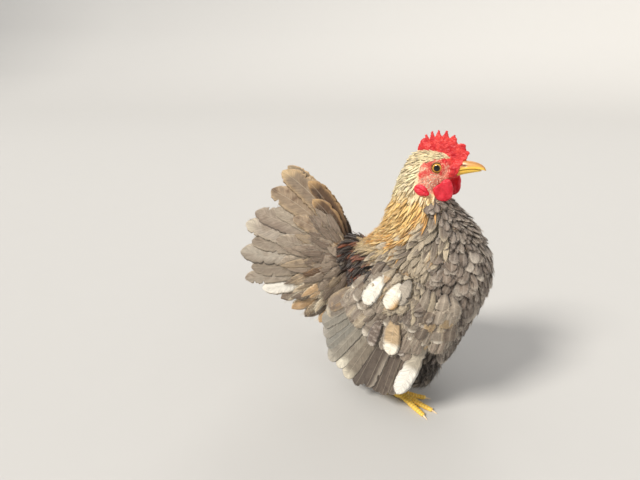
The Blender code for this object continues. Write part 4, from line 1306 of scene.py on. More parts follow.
wing = {
    "flights": 15,
    "rootsTo": 0.88,  # share of the way to the wrist
    "tips": ((-62, 77), (-71, 56), (-67, 33), (-54, 19), (-33, 12), (-15, 12), (-1, 18), (8, 24)),
    "width": 15.0,
    "layer": 0.42,  # how far each flight feather lies over the next, in mm
    # groups of coverts: corners of the roots' region, gap, length, width, lifts, turn at rear and front
    "groups": (
        ("greater", ((-30, 104), (12, 86), (20, 92), (-22, 116)),
         4.8, (24, 34), (7.5, 11), (1.4, 3.0), (42, 14)),
        ("median", ((-26, 112), (30, 92), (34, 98), (-18, 122)),
         4.2, (17, 25), (6.5, 9.5), (2.0, 4.2), (40, 6)),
        ("lesser", ((-22, 114), (38, 92), (42, 115), (-9, 132)),
         3.8, (12, 19), (5.5, 8.5), (2.6, 5.6), (38, 2)),
        ("flank", ((14, 86), (38, 88), (42, 106), (18, 100)),
         3.6, (18, 25), (4.2, 6.2), (1.0, 4.6), (16, 4)),
    ),
    "shares": (0.27, 0.25, 0.18, 0.15, 0.1, 0.05),  # how often each of the covert markings comes
    # barbs of coverts and single feathers: on each side, their length and thickness, and their spread
    "coverts": (13, (2.0, 4.4), 0.10, 0.55),
    "alone": (9, (1.8, 3.2), 0.10, 0.45),
    # single feathers that show in the photograph: root and tip (x, z), width and lift
    "singles": (
        ("white", (-5.5, 124), (-19, 101), 11.5, 7.8),
        ("whiteGold", (7.0, 121), (-1.0, 103), 11.0, 9.7),
        ("paleGrey", (12.5, 124), (5.5, 107), 10.0, 8.4),
        ("buff", (4.5, 97), (1.0, 62.0), 13.5, 6.2),
        ("spotted", (-7, 90), (-15, 64), 9.0, 4.8),
        ("spotted", (8, 84), (9, 63), 8.5, 4.8),
        ("whiteLong", (26, 80), (7.0, 24.5), 13.0, 2.8),
    ),
}
def marked(base, rim, mottle, mottled=0.6, **more):
    # base, rim and mottling of a feather as seen on screen, and more: tip, from, line, lower
    return {"base": base, "rim": rim, "mottle": mottle, "mottled": mottled, **more}


grey = marked((142, 136, 124), (178, 170, 154), (110, 102, 92), 0.5)
dark = marked((100, 87, 76), (150, 136, 121), (68, 55, 46), 0.7)
flightMarks = (
    marked((122, 104, 86), (196, 172, 138), (172, 140, 100)),
    {**grey, "base": (130, 118, 104), "tip": (190, 176, 152)},
    {**grey, "rim": (196, 188, 172)},
    {**grey, "tip": (168, 160, 148)},
    {**grey, "base": (134, 130, 120), "rim": (190, 184, 170)},
    {**grey, "base": (150, 142, 128), "tip": (190, 182, 166)},
    {"base": (156, 146, 130), "tip": (236, 228, 208), "mottle": (104, 92, 80), "from": 0.78},
    {"base": (138, 126, 110), "tip": (228, 218, 196), "mottle": (96, 84, 72), "from": 0.84},
    dark,
    {**dark, "lower": (176, 164, 148)},
    {**dark, "base": (92, 79, 68)},
    {**dark, "rim": (182, 168, 148)},
    {**dark, "base": (112, 98, 86), "rim": (196, 184, 164)},
    {**dark, "base": (96, 83, 72), "rim": (150, 136, 120)},
    {**dark, "base": (104, 90, 79), "rim": (206, 196, 178)},
)
singleMarks = {
    "white": {"base": (238, 233, 220), "mottle": (222, 212, 194), "mottled": 0.2},
    "whiteGold": {
        "base": (238, 232, 216), "mottle": (222, 208, 184), "mottled": 0.2, "lower": (206, 164, 104),
    },
    "paleGrey": {"base": (178, 168, 154), "tip": (214, 206, 192), "mottle": (140, 128, 116), "mottled": 0.5},
    "buff": {"base": (200, 174, 138), "tip": (252, 244, 226), "mottle": (128, 108, 84), "from": 0.64},
    "whiteLong": {"base": (190, 180, 162), "tip": (250, 246, 236), "mottle": (128, 114, 100), "from": 0.45},
    "spotted": {"base": (112, 98, 88), "tip": (222, 212, 200), "mottle": (196, 184, 172), "mottled": 0.5},
}
covertMarks = (
    marked((128, 114, 102), (194, 180, 160), (76, 62, 52), line=(184, 168, 150)),
    marked((146, 133, 119), (212, 198, 176), (88, 74, 62), line=(192, 178, 160)),
    marked((104, 90, 78), (152, 136, 118), (66, 52, 43), line=(160, 146, 130)),
    marked((162, 148, 128), (220, 204, 178), (104, 84, 64), line=(206, 190, 164)),
    {"base": (150, 138, 124), "tip": (218, 208, 192), "mottle": (92, 78, 66), "from": 0.78},
    marked((170, 146, 112), (226, 200, 160), (112, 88, 64)),
)


def flightLies():
    tips = [(i, *tip) for i, tip in enumerate(wing["tips"])]
    tipX, tipZ = curve(tips, 1), curve(tips, 2)
    lies = []
    for k in range(wing["flights"]):
        share = k / (wing["flights"] - 1)
        root = elbow + (wrist - elbow) * share * wing["rootsTo"]
        at = share * (len(tips) - 1)
        tip = np.array((float(tipX(at)), float(tipZ(at))))
        tip = root + (tip - root) * draw.uniform(0.91, 1.0)
        bow, width = draw.uniform(-0.6, 1.4), wing["width"] * draw.uniform(0.82, 1.08)
        lies.append((root, tip, bow, width, (0.0, draw.uniform(-0.3, 0.4)), wing["layer"]))
    return lies


def spreadOver(corners, gap):
    # places in a four-cornered region of the side view, no nearer each other than gap
    corners = np.array(corners, dtype=float)
    found = []
    for u, v in draw.random((1600, 2)):
        low = corners[0] + (corners[1] - corners[0]) * u
        high = corners[3] + (corners[2] - corners[3]) * u
        place = low + (high - low) * v
        if all(np.hypot(*(place - other[0])) > gap for other in found):
            found.append((place, u))
    return found


def covertLies(corners, gap, lengths, widths, lifts, turns):
    lies = []
    for place, u in spreadOver(corners, gap):
        turn = math.radians(turns[0] + (turns[1] - turns[0]) * u + draw.normal(0, 6))
        tip = place + np.array((-math.sin(turn), -math.cos(turn))) * draw.uniform(*lengths)
        bow, width = draw.uniform(-0.8, 0.8), draw.uniform(*widths)
        lies.append((place, tip, bow, width, (lifts[0], lifts[1] + draw.normal(0, 0.25)), 0.0))
    return lies


def plumed(names, made, marks, roots, slot, finishes, plan=None, replaced=()):
    # a sheet of vanes, and with a plan the loose barbs round their rims
    tops, bottoms, s, c = made
    tint = sheetTint(marks, s, c, roots)
    joined(names[0], tops, bottoms, tint, s, roots, finishes[0], slot, replaced)
    if plan:
        fringed(names[1], made, tint, roots, plan, finishes[1])


def mappedRoots(lies, side, level):
    # places of the feathers of a sheet on the unwrap, in the bands of their side
    column = 2 * (side > 0)
    return [
        (0.005 + 0.25 * column + 0.24 * (lie[0][0] + 80) / 140 + 0.002 * level,
         0.005 + 0.14 * (lie[0][1] - 15) / 125) for lie in lies
    ]


def buildWing(side, name, long, short):
    flights = flightLies()
    made = sheetFeathers(wingHalf, side, flights, 60)
    roots = mappedRoots(flights, side, 0)
    plumed((f"wing_flights_{name}",), made, flightMarks, roots, "wing_feather", long, None, (f"wing_{name}",))
    for level, (group, corners, *form) in enumerate(wing["groups"]):
        lies = covertLies(corners, *form)
        made = sheetFeathers(wingHalf, side, lies, 22, shortOutline, 0.06, 0.10)
        marks = [covertMarks[k] for k in draw.choice(6, len(lies), p=wing["shares"])]
        names = f"wing_{group}_{name}", f"barbs_{group}_{name}"
        roots = mappedRoots(lies, side, level + 1)
        plumed(names, made, marks, roots, "wing_feather", short, wing["coverts"])
    lies = [
        (root, tip, draw.uniform(-0.5, 0.8), width, (lift - 2.2, lift), 0.0)
        for mark, root, tip, width, lift in wing["singles"]
    ]
    marks = [singleMarks[row[0]] for row in wing["singles"]]
    made = sheetFeathers(wingHalf, side, lies, 30, shortOutline, 0.04, 0.08)
    names, roots = (f"wing_singles_{name}", f"barbs_singles_{name}"), mappedRoots(lies, side, 5)
    plumed(names, made, marks, roots, "wing_feather", short, wing["alone"])


tail = {
    "start": 13.0,
    "longBarbs": (30, (1.5, 3.0), 0.11, 0.4),
    "softBarbs": (16, (2.5, 5.5), 0.10, 0.6),
    "shares": (0.3, 0.28, 0.2, 0.16, 0.06),  # how often each of the soft markings comes
    # elevation, length, width, bow
    "feathers": (
        (54, 79, 16, 5.5), (45, 103, 21, 8.0), (35, 98, 20, 5.5), (28, 84, 14, 3.0),
        (22, 97, 17, 3.0), (15.5, 100, 18, 1.5), (8, 90, 16, 2.0), (1.5, 97, 19, 0.0),
        (-7, 86, 17, -1.5), (-13, 91, 15, -1.0), (-22, 80, 17, -2.0),
    ),
    # shorter feathers that lie over the long ones
    "over": ((50, 64, 15, 5.0), (30, 66, 13, 3.0), (12, 70, 13, 1.0), (-4, 62, 14, -1.0)),
    "under": ((-33, 70, 13, -2.0), (-44, 69, 13, -3.0), (-55, 69, 13, -3.0), (-66, 66, 12, -3.0)),
}
pale = marked((160, 146, 131), (194, 178, 156), (128, 112, 98), 0.6)
tailMarks = (
    marked((94, 72, 54), (200, 162, 114), (54, 38, 27), 0.9, tip=(190, 156, 112)),
    marked((150, 132, 112), (216, 184, 140), (112, 92, 74), 0.6, tip=(206, 180, 142)),
    {**pale, "base": (158, 138, 116), "rim": (210, 184, 148), "mottle": (102, 80, 62), "mottled": 0.8},
    {**pale, "base": (174, 161, 144)},
    {**pale, "lower": (142, 126, 112)},
    {**pale, "base": (172, 160, 146), "tip": (204, 194, 176)},
    {**pale, "base": (152, 139, 124)},
    {**pale, "base": (174, 164, 150), "lower": (146, 134, 120)},
    {**pale, "base": (146, 133, 118)},
    {**pale, "base": (166, 154, 139)},
    {**pale, "base": (164, 152, 137), "tip": (242, 237, 226), "from": 0.5},
)
downy = marked((132, 116, 102), (172, 156, 136), (92, 78, 66))
bufftail = marked((200, 166, 126), (234, 214, 182), (140, 112, 86))
creamy = marked((218, 200, 172), (240, 230, 208), (168, 146, 118))
softMarks = (
    downy,
    {**downy, "base": (146, 130, 114)},
    {**downy, "base": (118, 102, 88), "rim": (154, 136, 116)},
    {**downy, "base": (156, 138, 116), "rim": (196, 172, 138)},
    marked((104, 80, 60), (160, 126, 90), (60, 42, 30)),
)


def backward(degrees):
    # a direction in side view, by its elevation from straight back
    return np.array((-math.cos(math.radians(degrees)), math.sin(math.radians(degrees))))


def tailLies(rows, lifts, layer):
    lies = []
    for elevation, length, width, bow in rows:
        ray = backward(elevation)
        tip = tailRoot[[0, 2]] + ray * length * draw.uniform(0.97, 1.0)
        lies.append((tailRoot[[0, 2]] + ray * tail["start"], tip, bow, width, lifts, layer))
    return lies


def softTailLies(count, elevations, starts, lengths, widths, lifts):
    # loose feathers round the root of the tail
    lies = []
    for k in range(count):
        elevation = mix(*elevations, (k + draw.random()) / count)
        ahead = backward(elevation + draw.normal(0, 7))
        root = tailRoot[[0, 2]] + backward(elevation) * draw.uniform(*starts)
        tip = root + ahead * draw.uniform(*lengths)
        bow, width = draw.uniform(-1.5, 1.5), draw.uniform(*widths)
        lies.append((root, tip, bow, width, (lifts[0], lifts[1] + draw.normal(0, 0.4)), 0.0))
    return lies


def buildTail(side, name, long, short):
    lies = tailLies(tail["feathers"], (0.0, 0.0), 0.9)
    made = sheetFeathers(tailHalf, side, lies, 60, tailOutline, 0.08, 0.10)
    names, roots = (f"tail_feathers_{name}", f"barbs_feathers_{name}"), mappedRoots(lies, side, 0)
    plumed(names, made, tailMarks, roots, "tail_feather", long, tail["longBarbs"], (f"tail_{name}",))
    groups = (
        ("under", tailLies(tail["under"], (0.0, 0.3), 0.8), (downy, bufftail, downy, bufftail)),
        ("over", tailLies(tail["over"], (0.8, 1.6), 0.6), [tailMarks[k] for k in (0, 2, 8, 6)]),
        ("long", softTailLies(24, (56, -40), (8, 18), (26, 46), (7, 11), (0.8, 2.6)), None),
        ("short", softTailLies(54, (60, -66), (8, 20), (16, 28), (5, 9), (1.4, 4.2)), None),
        ("vent", softTailLies(34, (-30, -74), (10, 42), (16, 28), (5, 8.5), (0.6, 3.4)), None),
    )
    for level, (group, lies, marks) in enumerate(groups):
        outline = shortOutline if marks else softOutline
        if group == "vent":
            marks = [(downy, bufftail, softMarks[3], creamy)[draw.integers(0, 4)] for lie in lies]
        elif not marks:
            marks = [softMarks[draw.choice(5, p=tail["shares"])] for lie in lies]
        made = sheetFeathers(tailHalf, side, lies, 22, outline, 0.04, 0.12)
        names = f"tail_{group}_{name}", f"barbs_tail_{group}_{name}"
        roots = mappedRoots(lies, side, level + 1)
        plumed(names, made, marks, roots, "tail_feather", short, tail["softBarbs"])


# head pieces
def fleshFinish(name, deep, light, bumps, roughness):
    material, tree = newMaterial(name)
    place = onObject(tree)
    wide = ranged(tree, clouds(tree, place, 190.0, 4.0), 0.35, 0.7)
    return finish(material, {
        "Base Color": mixed(tree, wide, screen(*deep), screen(*light)),
        "Normal": pebbles(tree, place, bumps, 0.8, 0.0004),
        "Roughness": roughness,
        **glow(0.2, 0.003, 0.0009, 0.0006),
    })


comb = {
    "columns": 120,
    "levels": 11,
    "base": ((-3.0, 206.0), (4.0, 206.5), (12.0, 205.5), (20.0, 202.5), (27.0, 199.5)),
    "edge": ((-4.6, 209.5), (0.5, 219.5), (9.0, 223.8), (20.0, 222.0), (32.5, 211.5), (31.0, 203.0)),
    "points": 8,
    "rootNotch": 0.52,  # depth of the notches as a share of the height, behind and in front
    "tipNotch": 0.12,
    "rear": 0.16,  # share of the edge that the rounded rear lobe takes
    "inset": 0.7,  # keeps the blobs inside the solid's edge
    "voxel": 0.00036,
}


def alongLine(line, share):
    rows = [(i, x, z) for i, (x, z) in enumerate(line)]
    at = share * (len(line) - 1)
    return np.array((smooth(rows, at, 1), smooth(rows, at, 2)))


def blobs(name, places):
    # one mesh of many balls, each a centre and three radii in mm, from a single ball
    ball = bmesh.new()
    bmesh.ops.create_uvsphere(ball, u_segments=20, v_segments=14, radius=1.0)
    bmesh.ops.triangulate(ball, faces=ball.faces)
    points = np.array([vertex.co[:] for vertex in ball.verts])
    faces = np.array([[vertex.index for vertex in face.verts] for face in ball.faces])
    ball.free()
    centres = np.array([tuple(centre) for centre, size in places])
    sizes = np.array([size for centre, size in places])
    points = centres[:, None] + points[None] * sizes[:, None]
    faces = faces[None] + (np.arange(len(places)) * points.shape[1])[:, None, None]
    return pieceOf(filledMesh(name, points, faces.ravel(), np.arange(0, faces.size, 3)), name)


def remeshed(piece, voxel, smoothing=4):
    step = piece.modifiers.new("whole", "REMESH")
    step.mode = "VOXEL"
    step.voxel_size = voxel
    soft = piece.modifiers.new("soft", "SMOOTH")
    soft.factor = 0.5
    soft.iterations = smoothing
    return applied(piece)


bill = {
    # station, mouth line, ridge, keel of the lower half, half width
    "upper": (
        (16.0, 190.0, 200.6, 187.0, 7.1), (21.0, 193.0, 202.3, 189.2, 6.4),
        (25.5, 195.6, 203.0, 191.6, 5.4), (31.0, 197.5, 203.5, 193.8, 4.3),
        (36.5, 198.4, 203.2, 195.4, 3.4), (41.0, 198.4, 202.0, 196.4, 2.4),
        (44.0, 197.9, 200.2, 197.0, 1.2), (45.3, 197.5, 198.2, 197.2, 0.25),
    ),
    "lower": (
        (16.0, 190.0, 200.6, 187.0, 6.1), (21.0, 193.0, 202.3, 189.2, 5.5),
        (25.5, 195.6, 203.0, 191.6, 4.6), (31.0, 197.5, 203.5, 193.8, 3.7),
        (36.5, 198.3, 203.2, 195.4, 2.8), (40.5, 198.2, 202.0, 196.5, 1.8),
        (42.5, 197.6, 200.2, 197.1, 0.3),
    ),
    "nostril": (31.0, 4.2, 200.4),
    "part": 0.15,  # half the gap between the two halves
    "mesh": (64, 56),
}
upperReads = [curve(bill["upper"], column) for column in (1, 2, 3, 4)]


def headHalf(x, z):
    # half width of the bare head at a place in side view
    back, front, half = float(sliceBack(z)), float(sliceFront(z)), float(sliceHalf(z))
    share = abs(2 * x - back - front) / (front - back - 1)
    return (half - 0.5) * math.sqrt(max(0.0, 1 - share**2))


def billHalf(x, z):
    mouth, ridge, keel, wide = (float(read(x)) for read in upperReads)
    far = (z - mouth) / ((ridge if z > mouth else keel) - mouth)
    return wide * math.sqrt(max(0.0, 1 - min(1.0, far) ** 2.5))


def rootFlesh(top, rear, front):
    # flesh over the root of the bill, between a rear and a front line that run from its top down
    places = []
    for low in np.linspace(top, 1, 15):
        z = mix(203.6, 187.5, low)
        for x in np.arange(rear(low), front(low), 0.75):
            half = max(headHalf(x, z), billHalf(x, z))
            grain = 1.0 + 0.22 * math.sin(x * 2.6 + z * 1.9) * math.sin(z * 1.1 - x)
            for side in (1, -1):
                if half > 0.5:
                    places.append(((x, side * (half + 0.1), z), (1.0 * grain, 0.75 * grain, 1.0 * grain)))
    return places


def buildGape(material):
    # the speckled skin between the eye and the corner of the mouth
    places = rootFlesh(0.15, lambda low: 16.0, lambda low: mix(19.0, 22.5, min(1.0, 2 * low)))
    piece = remeshed(blobs("gape_skin", places), comb["voxel"], 6)

    def redness(x, y, z, out):
        stray = 1.5 * grain(x, y, z, 0.6)
        return max(ease(19.0, 22.5, x + stray), ease(7.5, 4.5, math.hypot(x - 13, z - 198) + stray))

    painted(piece, "tone", lambda x, y, z, out: paint(228, 144, 122))
    painted(piece, "bare", redness)
    placedOn(piece, material)


def combNotch(share):
    # how deep the edge is cut at a share of its way: a rounded lobe behind, then the points
    if share <= comb["rear"]:
        return 0.30 * abs(share / comb["rear"] - 0.5) ** 2
    at = (share - comb["rear"]) / (1 - comb["rear"]) * comb["points"]
    phase = abs((at % 1.0) - 0.5) * 2
    return mix(comb["rootNotch"], comb["tipNotch"], ease(0.0, comb["points"], at)) * phase**0.85


def buildComb(material):
    places = []
    for share in (i / (comb["columns"] - 1) for i in range(comb["columns"])):
        base, edge = alongLine(comb["base"], share), alongLine(comb["edge"], share)
        height = np.linalg.norm(edge - base)
        reach = (height * (1 - combNotch(share)) - comb["inset"]) / height
        for level in np.linspace(0.0, reach, comb["levels"]):
            # the points lean back
            at = base + (edge - base) * level - np.array((0.9, 0.0)) * max(0.0, level - 0.5)
            thick = mix(2.7, 0.85, min(1.0, level) ** 0.8)
            sway = 0.35 * math.sin(share * 23 + level * 3)
            places.append(((at[0], sway, at[1]), (0.75, thick, 0.75)))
    rear, front = lambda low: mix(16.5, 21.5, min(1.0, 2 * low)), lambda low: mix(29.5, 25.0, low**0.8)
    places += rootFlesh(0.0, rear, front)
    piece = remeshed(blobs("comb_flesh", places), comb["voxel"], 2)

    def rough(x, y, z, out):
        crease = noise.fractal(Vector((x * 0.55, y * 0.3, z * 0.4)), 0.6, 2.0, 4)
        return 0.46 * crease + 0.16 * grain(x, y, z, 1.7)

    pushed(piece, rough)
    placedOn(piece, material, ("comb",))


lobeMesh = (72, 52)


def lobeShape(centre, turns, side, form):
    lean = Matrix.Rotation(math.radians(turns[0]), 3, "Y")
    flare = Matrix.Rotation(math.radians(-turns[1]), 3, "X")

    def place(share, turn):
        # turning the other way keeps the faces of the mirrored lobe outward
        x, y, z = Vector(centre) + lean @ flare @ form(onBall(share, turn * side))
        return x, y * side, z

    return drawn(*lobeMesh, place)


def buildLobes(material):
    # how far the wattle's rim lies from its centre, by direction in degrees
    rim = curve((
        (-180, 7.6), (-150, 7.6), (-115, 8.6), (-80, 8.2), (-50, 8.0), (-20, 7.4), (10, 7.0), (45, 8.4),
        (66, 9.6), (85, 8.4), (115, 5.6), (150, 5.8), (180, 7.6),
    ))

    def wattleForm(out):
        # a rounded triangle with a rolled rim and folds across its face
        turn, near = math.degrees(math.atan2(out.z, out.x)), math.hypot(out.x, out.z)
        reach = float(rim(turn)) * near**0.9
        fold = 0.45 * math.sin(out.x * 4 + out.z * 3) * (1 - near**4)
        hollow = 0.35 * math.exp(-((near / 0.5) ** 2)) * math.copysign(1, out.y)
        thick = 1.9 * out.y * (0.8 + 0.5 * near**3) - hollow
        turn = math.radians(turn)
        return Vector((math.cos(turn) * reach, thick + fold, math.sin(turn) * reach))

    def earForm(out):
        near = math.hypot(out.x, out.z)
        crease = -1.0 * math.exp(-(((out.z - 0.1) / 0.2) ** 2)) * (1 - near**2)
        narrow = 1 - 0.35 * max(0.0, out.x)
        return Vector((out.x * 6.2, 1.8 * out.y + crease * (0.9 if out.y > 0 else 0.0), out.z * 3.9 * narrow))

    for side, name in sides:
        for label, centre, turns, form in (
            ("wattle", (19.6, 10.6, 182.6), (0, 8), wattleForm),
            ("earlobe", (4.8, 14.0, 181.2), (24, -6), earForm),
        ):
            piece = finished(lobeShape(centre, turns, side, form), f"{label}_flesh_{name}")

            def rough(x, y, z, out):
                wrinkle = noise.fractal(Vector((x * 0.5, y * 0.3, z * 0.35 + side)), 0.6, 2.0, 4)
                return 0.22 * wrinkle + 0.08 * grain(x, y, z, 1.9)

            pushed(piece, rough)
            placedOn(piece, material, (f"{label}_{name}",))


def billFinish():
    material, tree = newMaterial("bill")
    drawnOut = node(tree, "Mapping", {0: onObject(tree), "Scale": (900.0, 260.0, 260.0)}).outputs[0]
    grain = clouds(tree, drawnOut, 1.0, 4.0)
    vary = ranged(tree, grain, 0.0, 1.0, 0.86, 1.12)
    return finish(material, {
        "Base Color": mixed(tree, 1.0, ownMark(tree, "tone", "Color"), vary, "MULTIPLY"),
        "Normal": bumped(tree, grain, 0.25, 0.0002),
        "Roughness": 0.34,
        **glow(0.12, 0.0012, 0.0007, 0.0003),
    })


billTones = {
    "root": (214, 152, 92),
    "tip": (220, 166, 92),
    "cuttingEdge": (246, 204, 84),
    "ridge": (176, 120, 66),
    "nostrilFlap": (240, 214, 176),
    # painted shade in the nostril's opening
    "nostril": (96, 44, 28),
    "lower": (250, 208, 84),
}
billTones = {name: paint(*tone) for name, tone in billTones.items()}


def byNostril(x, z, ahead, above, wide, high):
    # 1 at a place ahead of and above the nostril, fading out over a width and a height
    nx, ny, nz = bill["nostril"]
    return math.exp(-(((x - nx - ahead) / wide) ** 2 + ((z - nz - above) / high) ** 2))


def billHalfPiece(half, material):
    reads = [curve(bill[half], column) for column in (1, 2, 3, 4)]
    first, last = bill[half][0][0], bill[half][-1][0]
    upper = half == "upper"
    bend = math.cos(pi / 4)

    def place(share, turn):
        # rings stand closer towards the tip
        way = 1 - math.cos(share * pi / 2) if share < 0.5 else (1 - bend) + (share - 0.5) / 0.5 * bend
        at = mix(last, first, way)
        mouth, ridge, keel, wide = (float(read(at)) for read in reads)
        flat = mouth + (bill["part"] if upper else -bill["part"])
        s, c = math.sin(turn), math.cos(turn)
        return at, wide * c, flat if s < 0 else flat + ((ridge if upper else keel) - flat) * s**0.8

    def rough(x, y, z, out):
        if not upper:
            return 0.05 * grain(x, y, z, 0.8)
        pit = byNostril(x, z, 0, 0, 1.7, 0.7) * (abs(y) > 2)
        flap = byNostril(x, z, -0.4, 1.1, 2.2, 0.7) * (abs(y) > 2)
        return -1.1 * pit + 0.3 * flap + 0.05 * grain(x, y, z, 0.8)

    def tone(x, y, z, out):
        colour = mix(billTones["root"], billTones["tip"], ease(28, 42, x))
        if not upper:
            return mix(colour, billTones["lower"], 0.85)
        mouth, ridge = float(reads[0](x)), float(reads[1](x))
        pit = byNostril(x, z, 0, 0, 1.5, 0.65) * (abs(y) > 2)
        flap = byNostril(x, z, -0.2, 1.2, 1.8, 0.8) * (abs(y) > 1.5)
        colour = mix(colour, billTones["cuttingEdge"], ease(mouth + 2.4, mouth + 0.9, z))
        colour = mix(colour, billTones["ridge"], ease(ridge - 2.0, ridge - 0.2, z) * 0.75)
        colour = mix(colour, billTones["nostrilFlap"], min(1.0, flap * 1.4))
        # the nostril's opening painted dark: painted shade in its hollow
        return mix(colour, billTones["nostril"], min(1.0, pit * 1.2))

    piece = finished(drawn(*bill["mesh"], place), f"bill_horn_{half}")
    pushed(piece, rough)
    painted(piece, "tone", tone)
    placedOn(piece, material, (f"bill_{half}",))


eye = {
    "centre": (12.8, 7.2, 198.0),
    "radius": 4.4,
    "facing": (0.22, 1.0, 0.02),
    "lid": 3.75,
    "lidThick": 0.62,
    "mesh": (64, 96),
}


# colours by the angle from the middle of the pupil, as a share of a right angle
irisStops = (
    (0.0, (10, 7, 7)), (0.315, (10, 7, 7)), (0.34, (120, 78, 22)), (0.40, (186, 134, 48)),
    (0.49, (226, 180, 72)), (0.53, (120, 70, 28)), (0.58, (34, 18, 10)),
)


def eyeFinish():
    material, tree = newMaterial("eye")
    rays = clouds(tree, onObject(tree), 1400.0, 3.0)
    ramp = node(tree, "ValToRGB", {0: sums(tree, "MULTIPLY_ADD", rays, 0.03, ownMark(tree, "turn"))})
    stops = ramp.color_ramp.elements
    for k, (at, tone) in enumerate((irisStops[0], irisStops[-1], *irisStops[1:-1])):
        stop = stops[k] if k < 2 else stops.new(at)
        stop.position = at
        stop.color = (0.003, 0.002, 0.002, 1.0) if sum(tone) < 30 else screen(*tone)
    return finish(material, {
        "Base Color": ramp.outputs["Color"],
        "Roughness": 0.25,
        "Specular IOR Level": 0.2,
        "Coat Weight": 0.6,
        "Coat Roughness": 0.02,
    })


def buildEye(side, name, material, flesh):
    facing = Vector((eye["facing"][0], side * eye["facing"][1], eye["facing"][2])).normalized()
    right = facing.cross(Vector((0, 0, 1))).normalized()
    up = right.cross(facing).normalized()
    centre = Vector((eye["centre"][0], side * eye["centre"][1], eye["centre"][2]))

    def place(share, turn):
        rim = (right * math.cos(turn) + up * math.sin(turn)) * math.sin(share * pi)
        return tuple(centre + (facing * math.cos(share * pi) + rim) * eye["radius"])

    def offPupil(x, y, z, out):
        return (Vector((x, y, z)) - centre).normalized().angle(facing) / (pi / 2)

    ball = finished(drawn(*eye["mesh"], place), f"eye_ball_{name}")
    painted(ball, "turn", offPupil)
    placedOn(ball, material, (f"eye_{name}",))
    # a rolled rim of flesh round the ball
    shape = bmesh.new()
    made = bmesh.ops.create_circle(shape, cap_ends=False, segments=12, radius=eye["lidThick"] * mm)
    seat = centre + facing * math.sqrt(eye["radius"] ** 2 - eye["lid"] ** 2)
    stand = Matrix((right, facing, up)).transposed().to_4x4() @ Matrix.Rotation(pi / 2, 4, "X")
    start = Matrix.Translation(spot(*(seat + right * eye["lid"])))
    bmesh.ops.transform(shape, matrix=start @ stand, verts=made["verts"])
    bmesh.ops.spin(
        shape, geom=shape.verts[:] + shape.edges[:], cent=spot(*seat), axis=facing,
        dvec=(0, 0, 0), angle=2 * pi, steps=56, use_merge=True,
    )
    bmesh.ops.remove_doubles(shape, verts=shape.verts, dist=1e-7)
    bmesh.ops.recalc_face_normals(shape, faces=shape.faces)
    placedOn(finished(shape, f"lid_{name}"), flesh)


# legs
leg = {
    "hock": (-9, 20, 46),
    "ankle": (-2, 18, 9),
    "radius": 3.5,
    "pad": (-1, 17, 4),
    "padSize": (5.6, 5.0, 4.4),
    # name, turn outwards, length, plates
    "toes": (
        ("inner", -20, 21.0, 9), ("middle", 9, 30.0, 13), ("outer", 28, 29.0, 12), ("hind", 172, 13.0, 6),
    ),
    "toeSteps": 40,
    "shankMesh": (40, 200),  # segments around and along
    "clawMesh": (24, 36),
    "toeRadius": 2.9,
    "taper": 0.36,
    "arch": 1.4,
    "squash": 0.86,
    "clawLength": 7.5,
    "claw": (1.35, 0.22),
    "clawSunk": 0.16,
    "clawDrop": 0.78,
    "plates": 13,  # down the front of the shank
    "voxel": 0.00040,
    "floorGap": 0.02,
}


def scaleFinish():
    material, tree = newMaterial("leg_scale")
    place = onObject(tree)
    yellow = mixed(tree, clouds(tree, place, 240.0, 5.0), screen(238, 180, 58), screen(255, 226, 112))
    cells = node(tree, "TexVoronoi", {"Vector": place, "Scale": 1100.0}, feature="DISTANCE_TO_EDGE")
    return finish(material, {
        "Base Color": mixed(tree, ownMark(tree, "groove"), yellow, screen(176, 116, 48)),
        "Normal": bumped(tree, cells.outputs["Distance"], 0.35, 0.0003),
        "Roughness": 0.42,
        **glow(0.1, 0.0015, 0.0009, 0.0004),
    })


def clawFinish():
    material, tree = newMaterial("claw")
    grain = clouds(tree, onObject(tree), 500.0, 4.0)
    colour = mixed(tree, grain, screen(214, 182, 138), screen(244, 226, 194))
    return finish(material, {"Base Color": colour, "Roughness": 0.3})


def heading(side, turn):
    # level direction of a toe
    return math.cos(math.radians(side * turn)), math.sin(math.radians(side * turn))


def toeAt(side, turn, length, share):
    radius = leg["toeRadius"] * (1 - leg["taper"] * share)
    arch = leg["arch"] * math.sin(pi * min(1.0, share * 1.4)) * (1 - share)
    px, py, pz = leg["pad"]
    ahead, aside = heading(side, turn)
    x = px + footShift(side) + ahead * length * share
    return Vector((x, side * py + aside * length * share, radius * leg["squash"] + arch)), radius


def buildFoot(side, name, scales):
    px, py, pz = leg["pad"]
    places = [((px + footShift(side), side * py, pz), leg["padSize"])]
    for label, turn, length, plates in leg["toes"]:
        for share in np.linspace(0, 1, leg["toeSteps"]):
            centre, radius = toeAt(side, turn, length, share)
            # three joint pads under each toe
            swell = 1 + 0.07 * math.sin(share * pi * 6 + 1) ** 2
            places.append((centre, (radius * swell, radius * swell, radius * leg["squash"] * swell)))
    foot = remeshed(blobs(f"foot_scales_{name}", places), leg["voxel"], 3)
    lines = [(*heading(side, turn), length, plates) for label, turn, length, plates in leg["toes"]]

    def plate(x, y, z, out):
        # the nearest toe's plates: how far a place stands out in mm, and how deep it is in a groove
        x, y = x - px - footShift(side), y - side * py
        ahead, aside, length, plates = max(lines, key=lambda line: x * line[0] + y * line[1])
        share = (x * ahead + y * aside) / length
        wave = (share * plates) % 1.0
        onTop, past = ease(0.1, 0.5, out.z), ease(0.05, 0.16, share)
        edge = ease(0.72, 0.95, wave) * ease(1.0, 0.97, wave) * onTop * past
        rise = 0.22 * ease(0.0, 0.25, wave) * onTop * past
        warts = 0.12 * grain(x, y, z, 1.6) * ease(0.3, -0.2, out.z)
        return rise - 0.28 * edge + warts, edge * 0.8

    painted(foot, "groove", lambda *place: plate(*place)[1])
    pushed(foot, lambda *place: plate(*place)[0])
    grounded(foot)
    placedOn(foot, scales, (f"foot_{name}",))


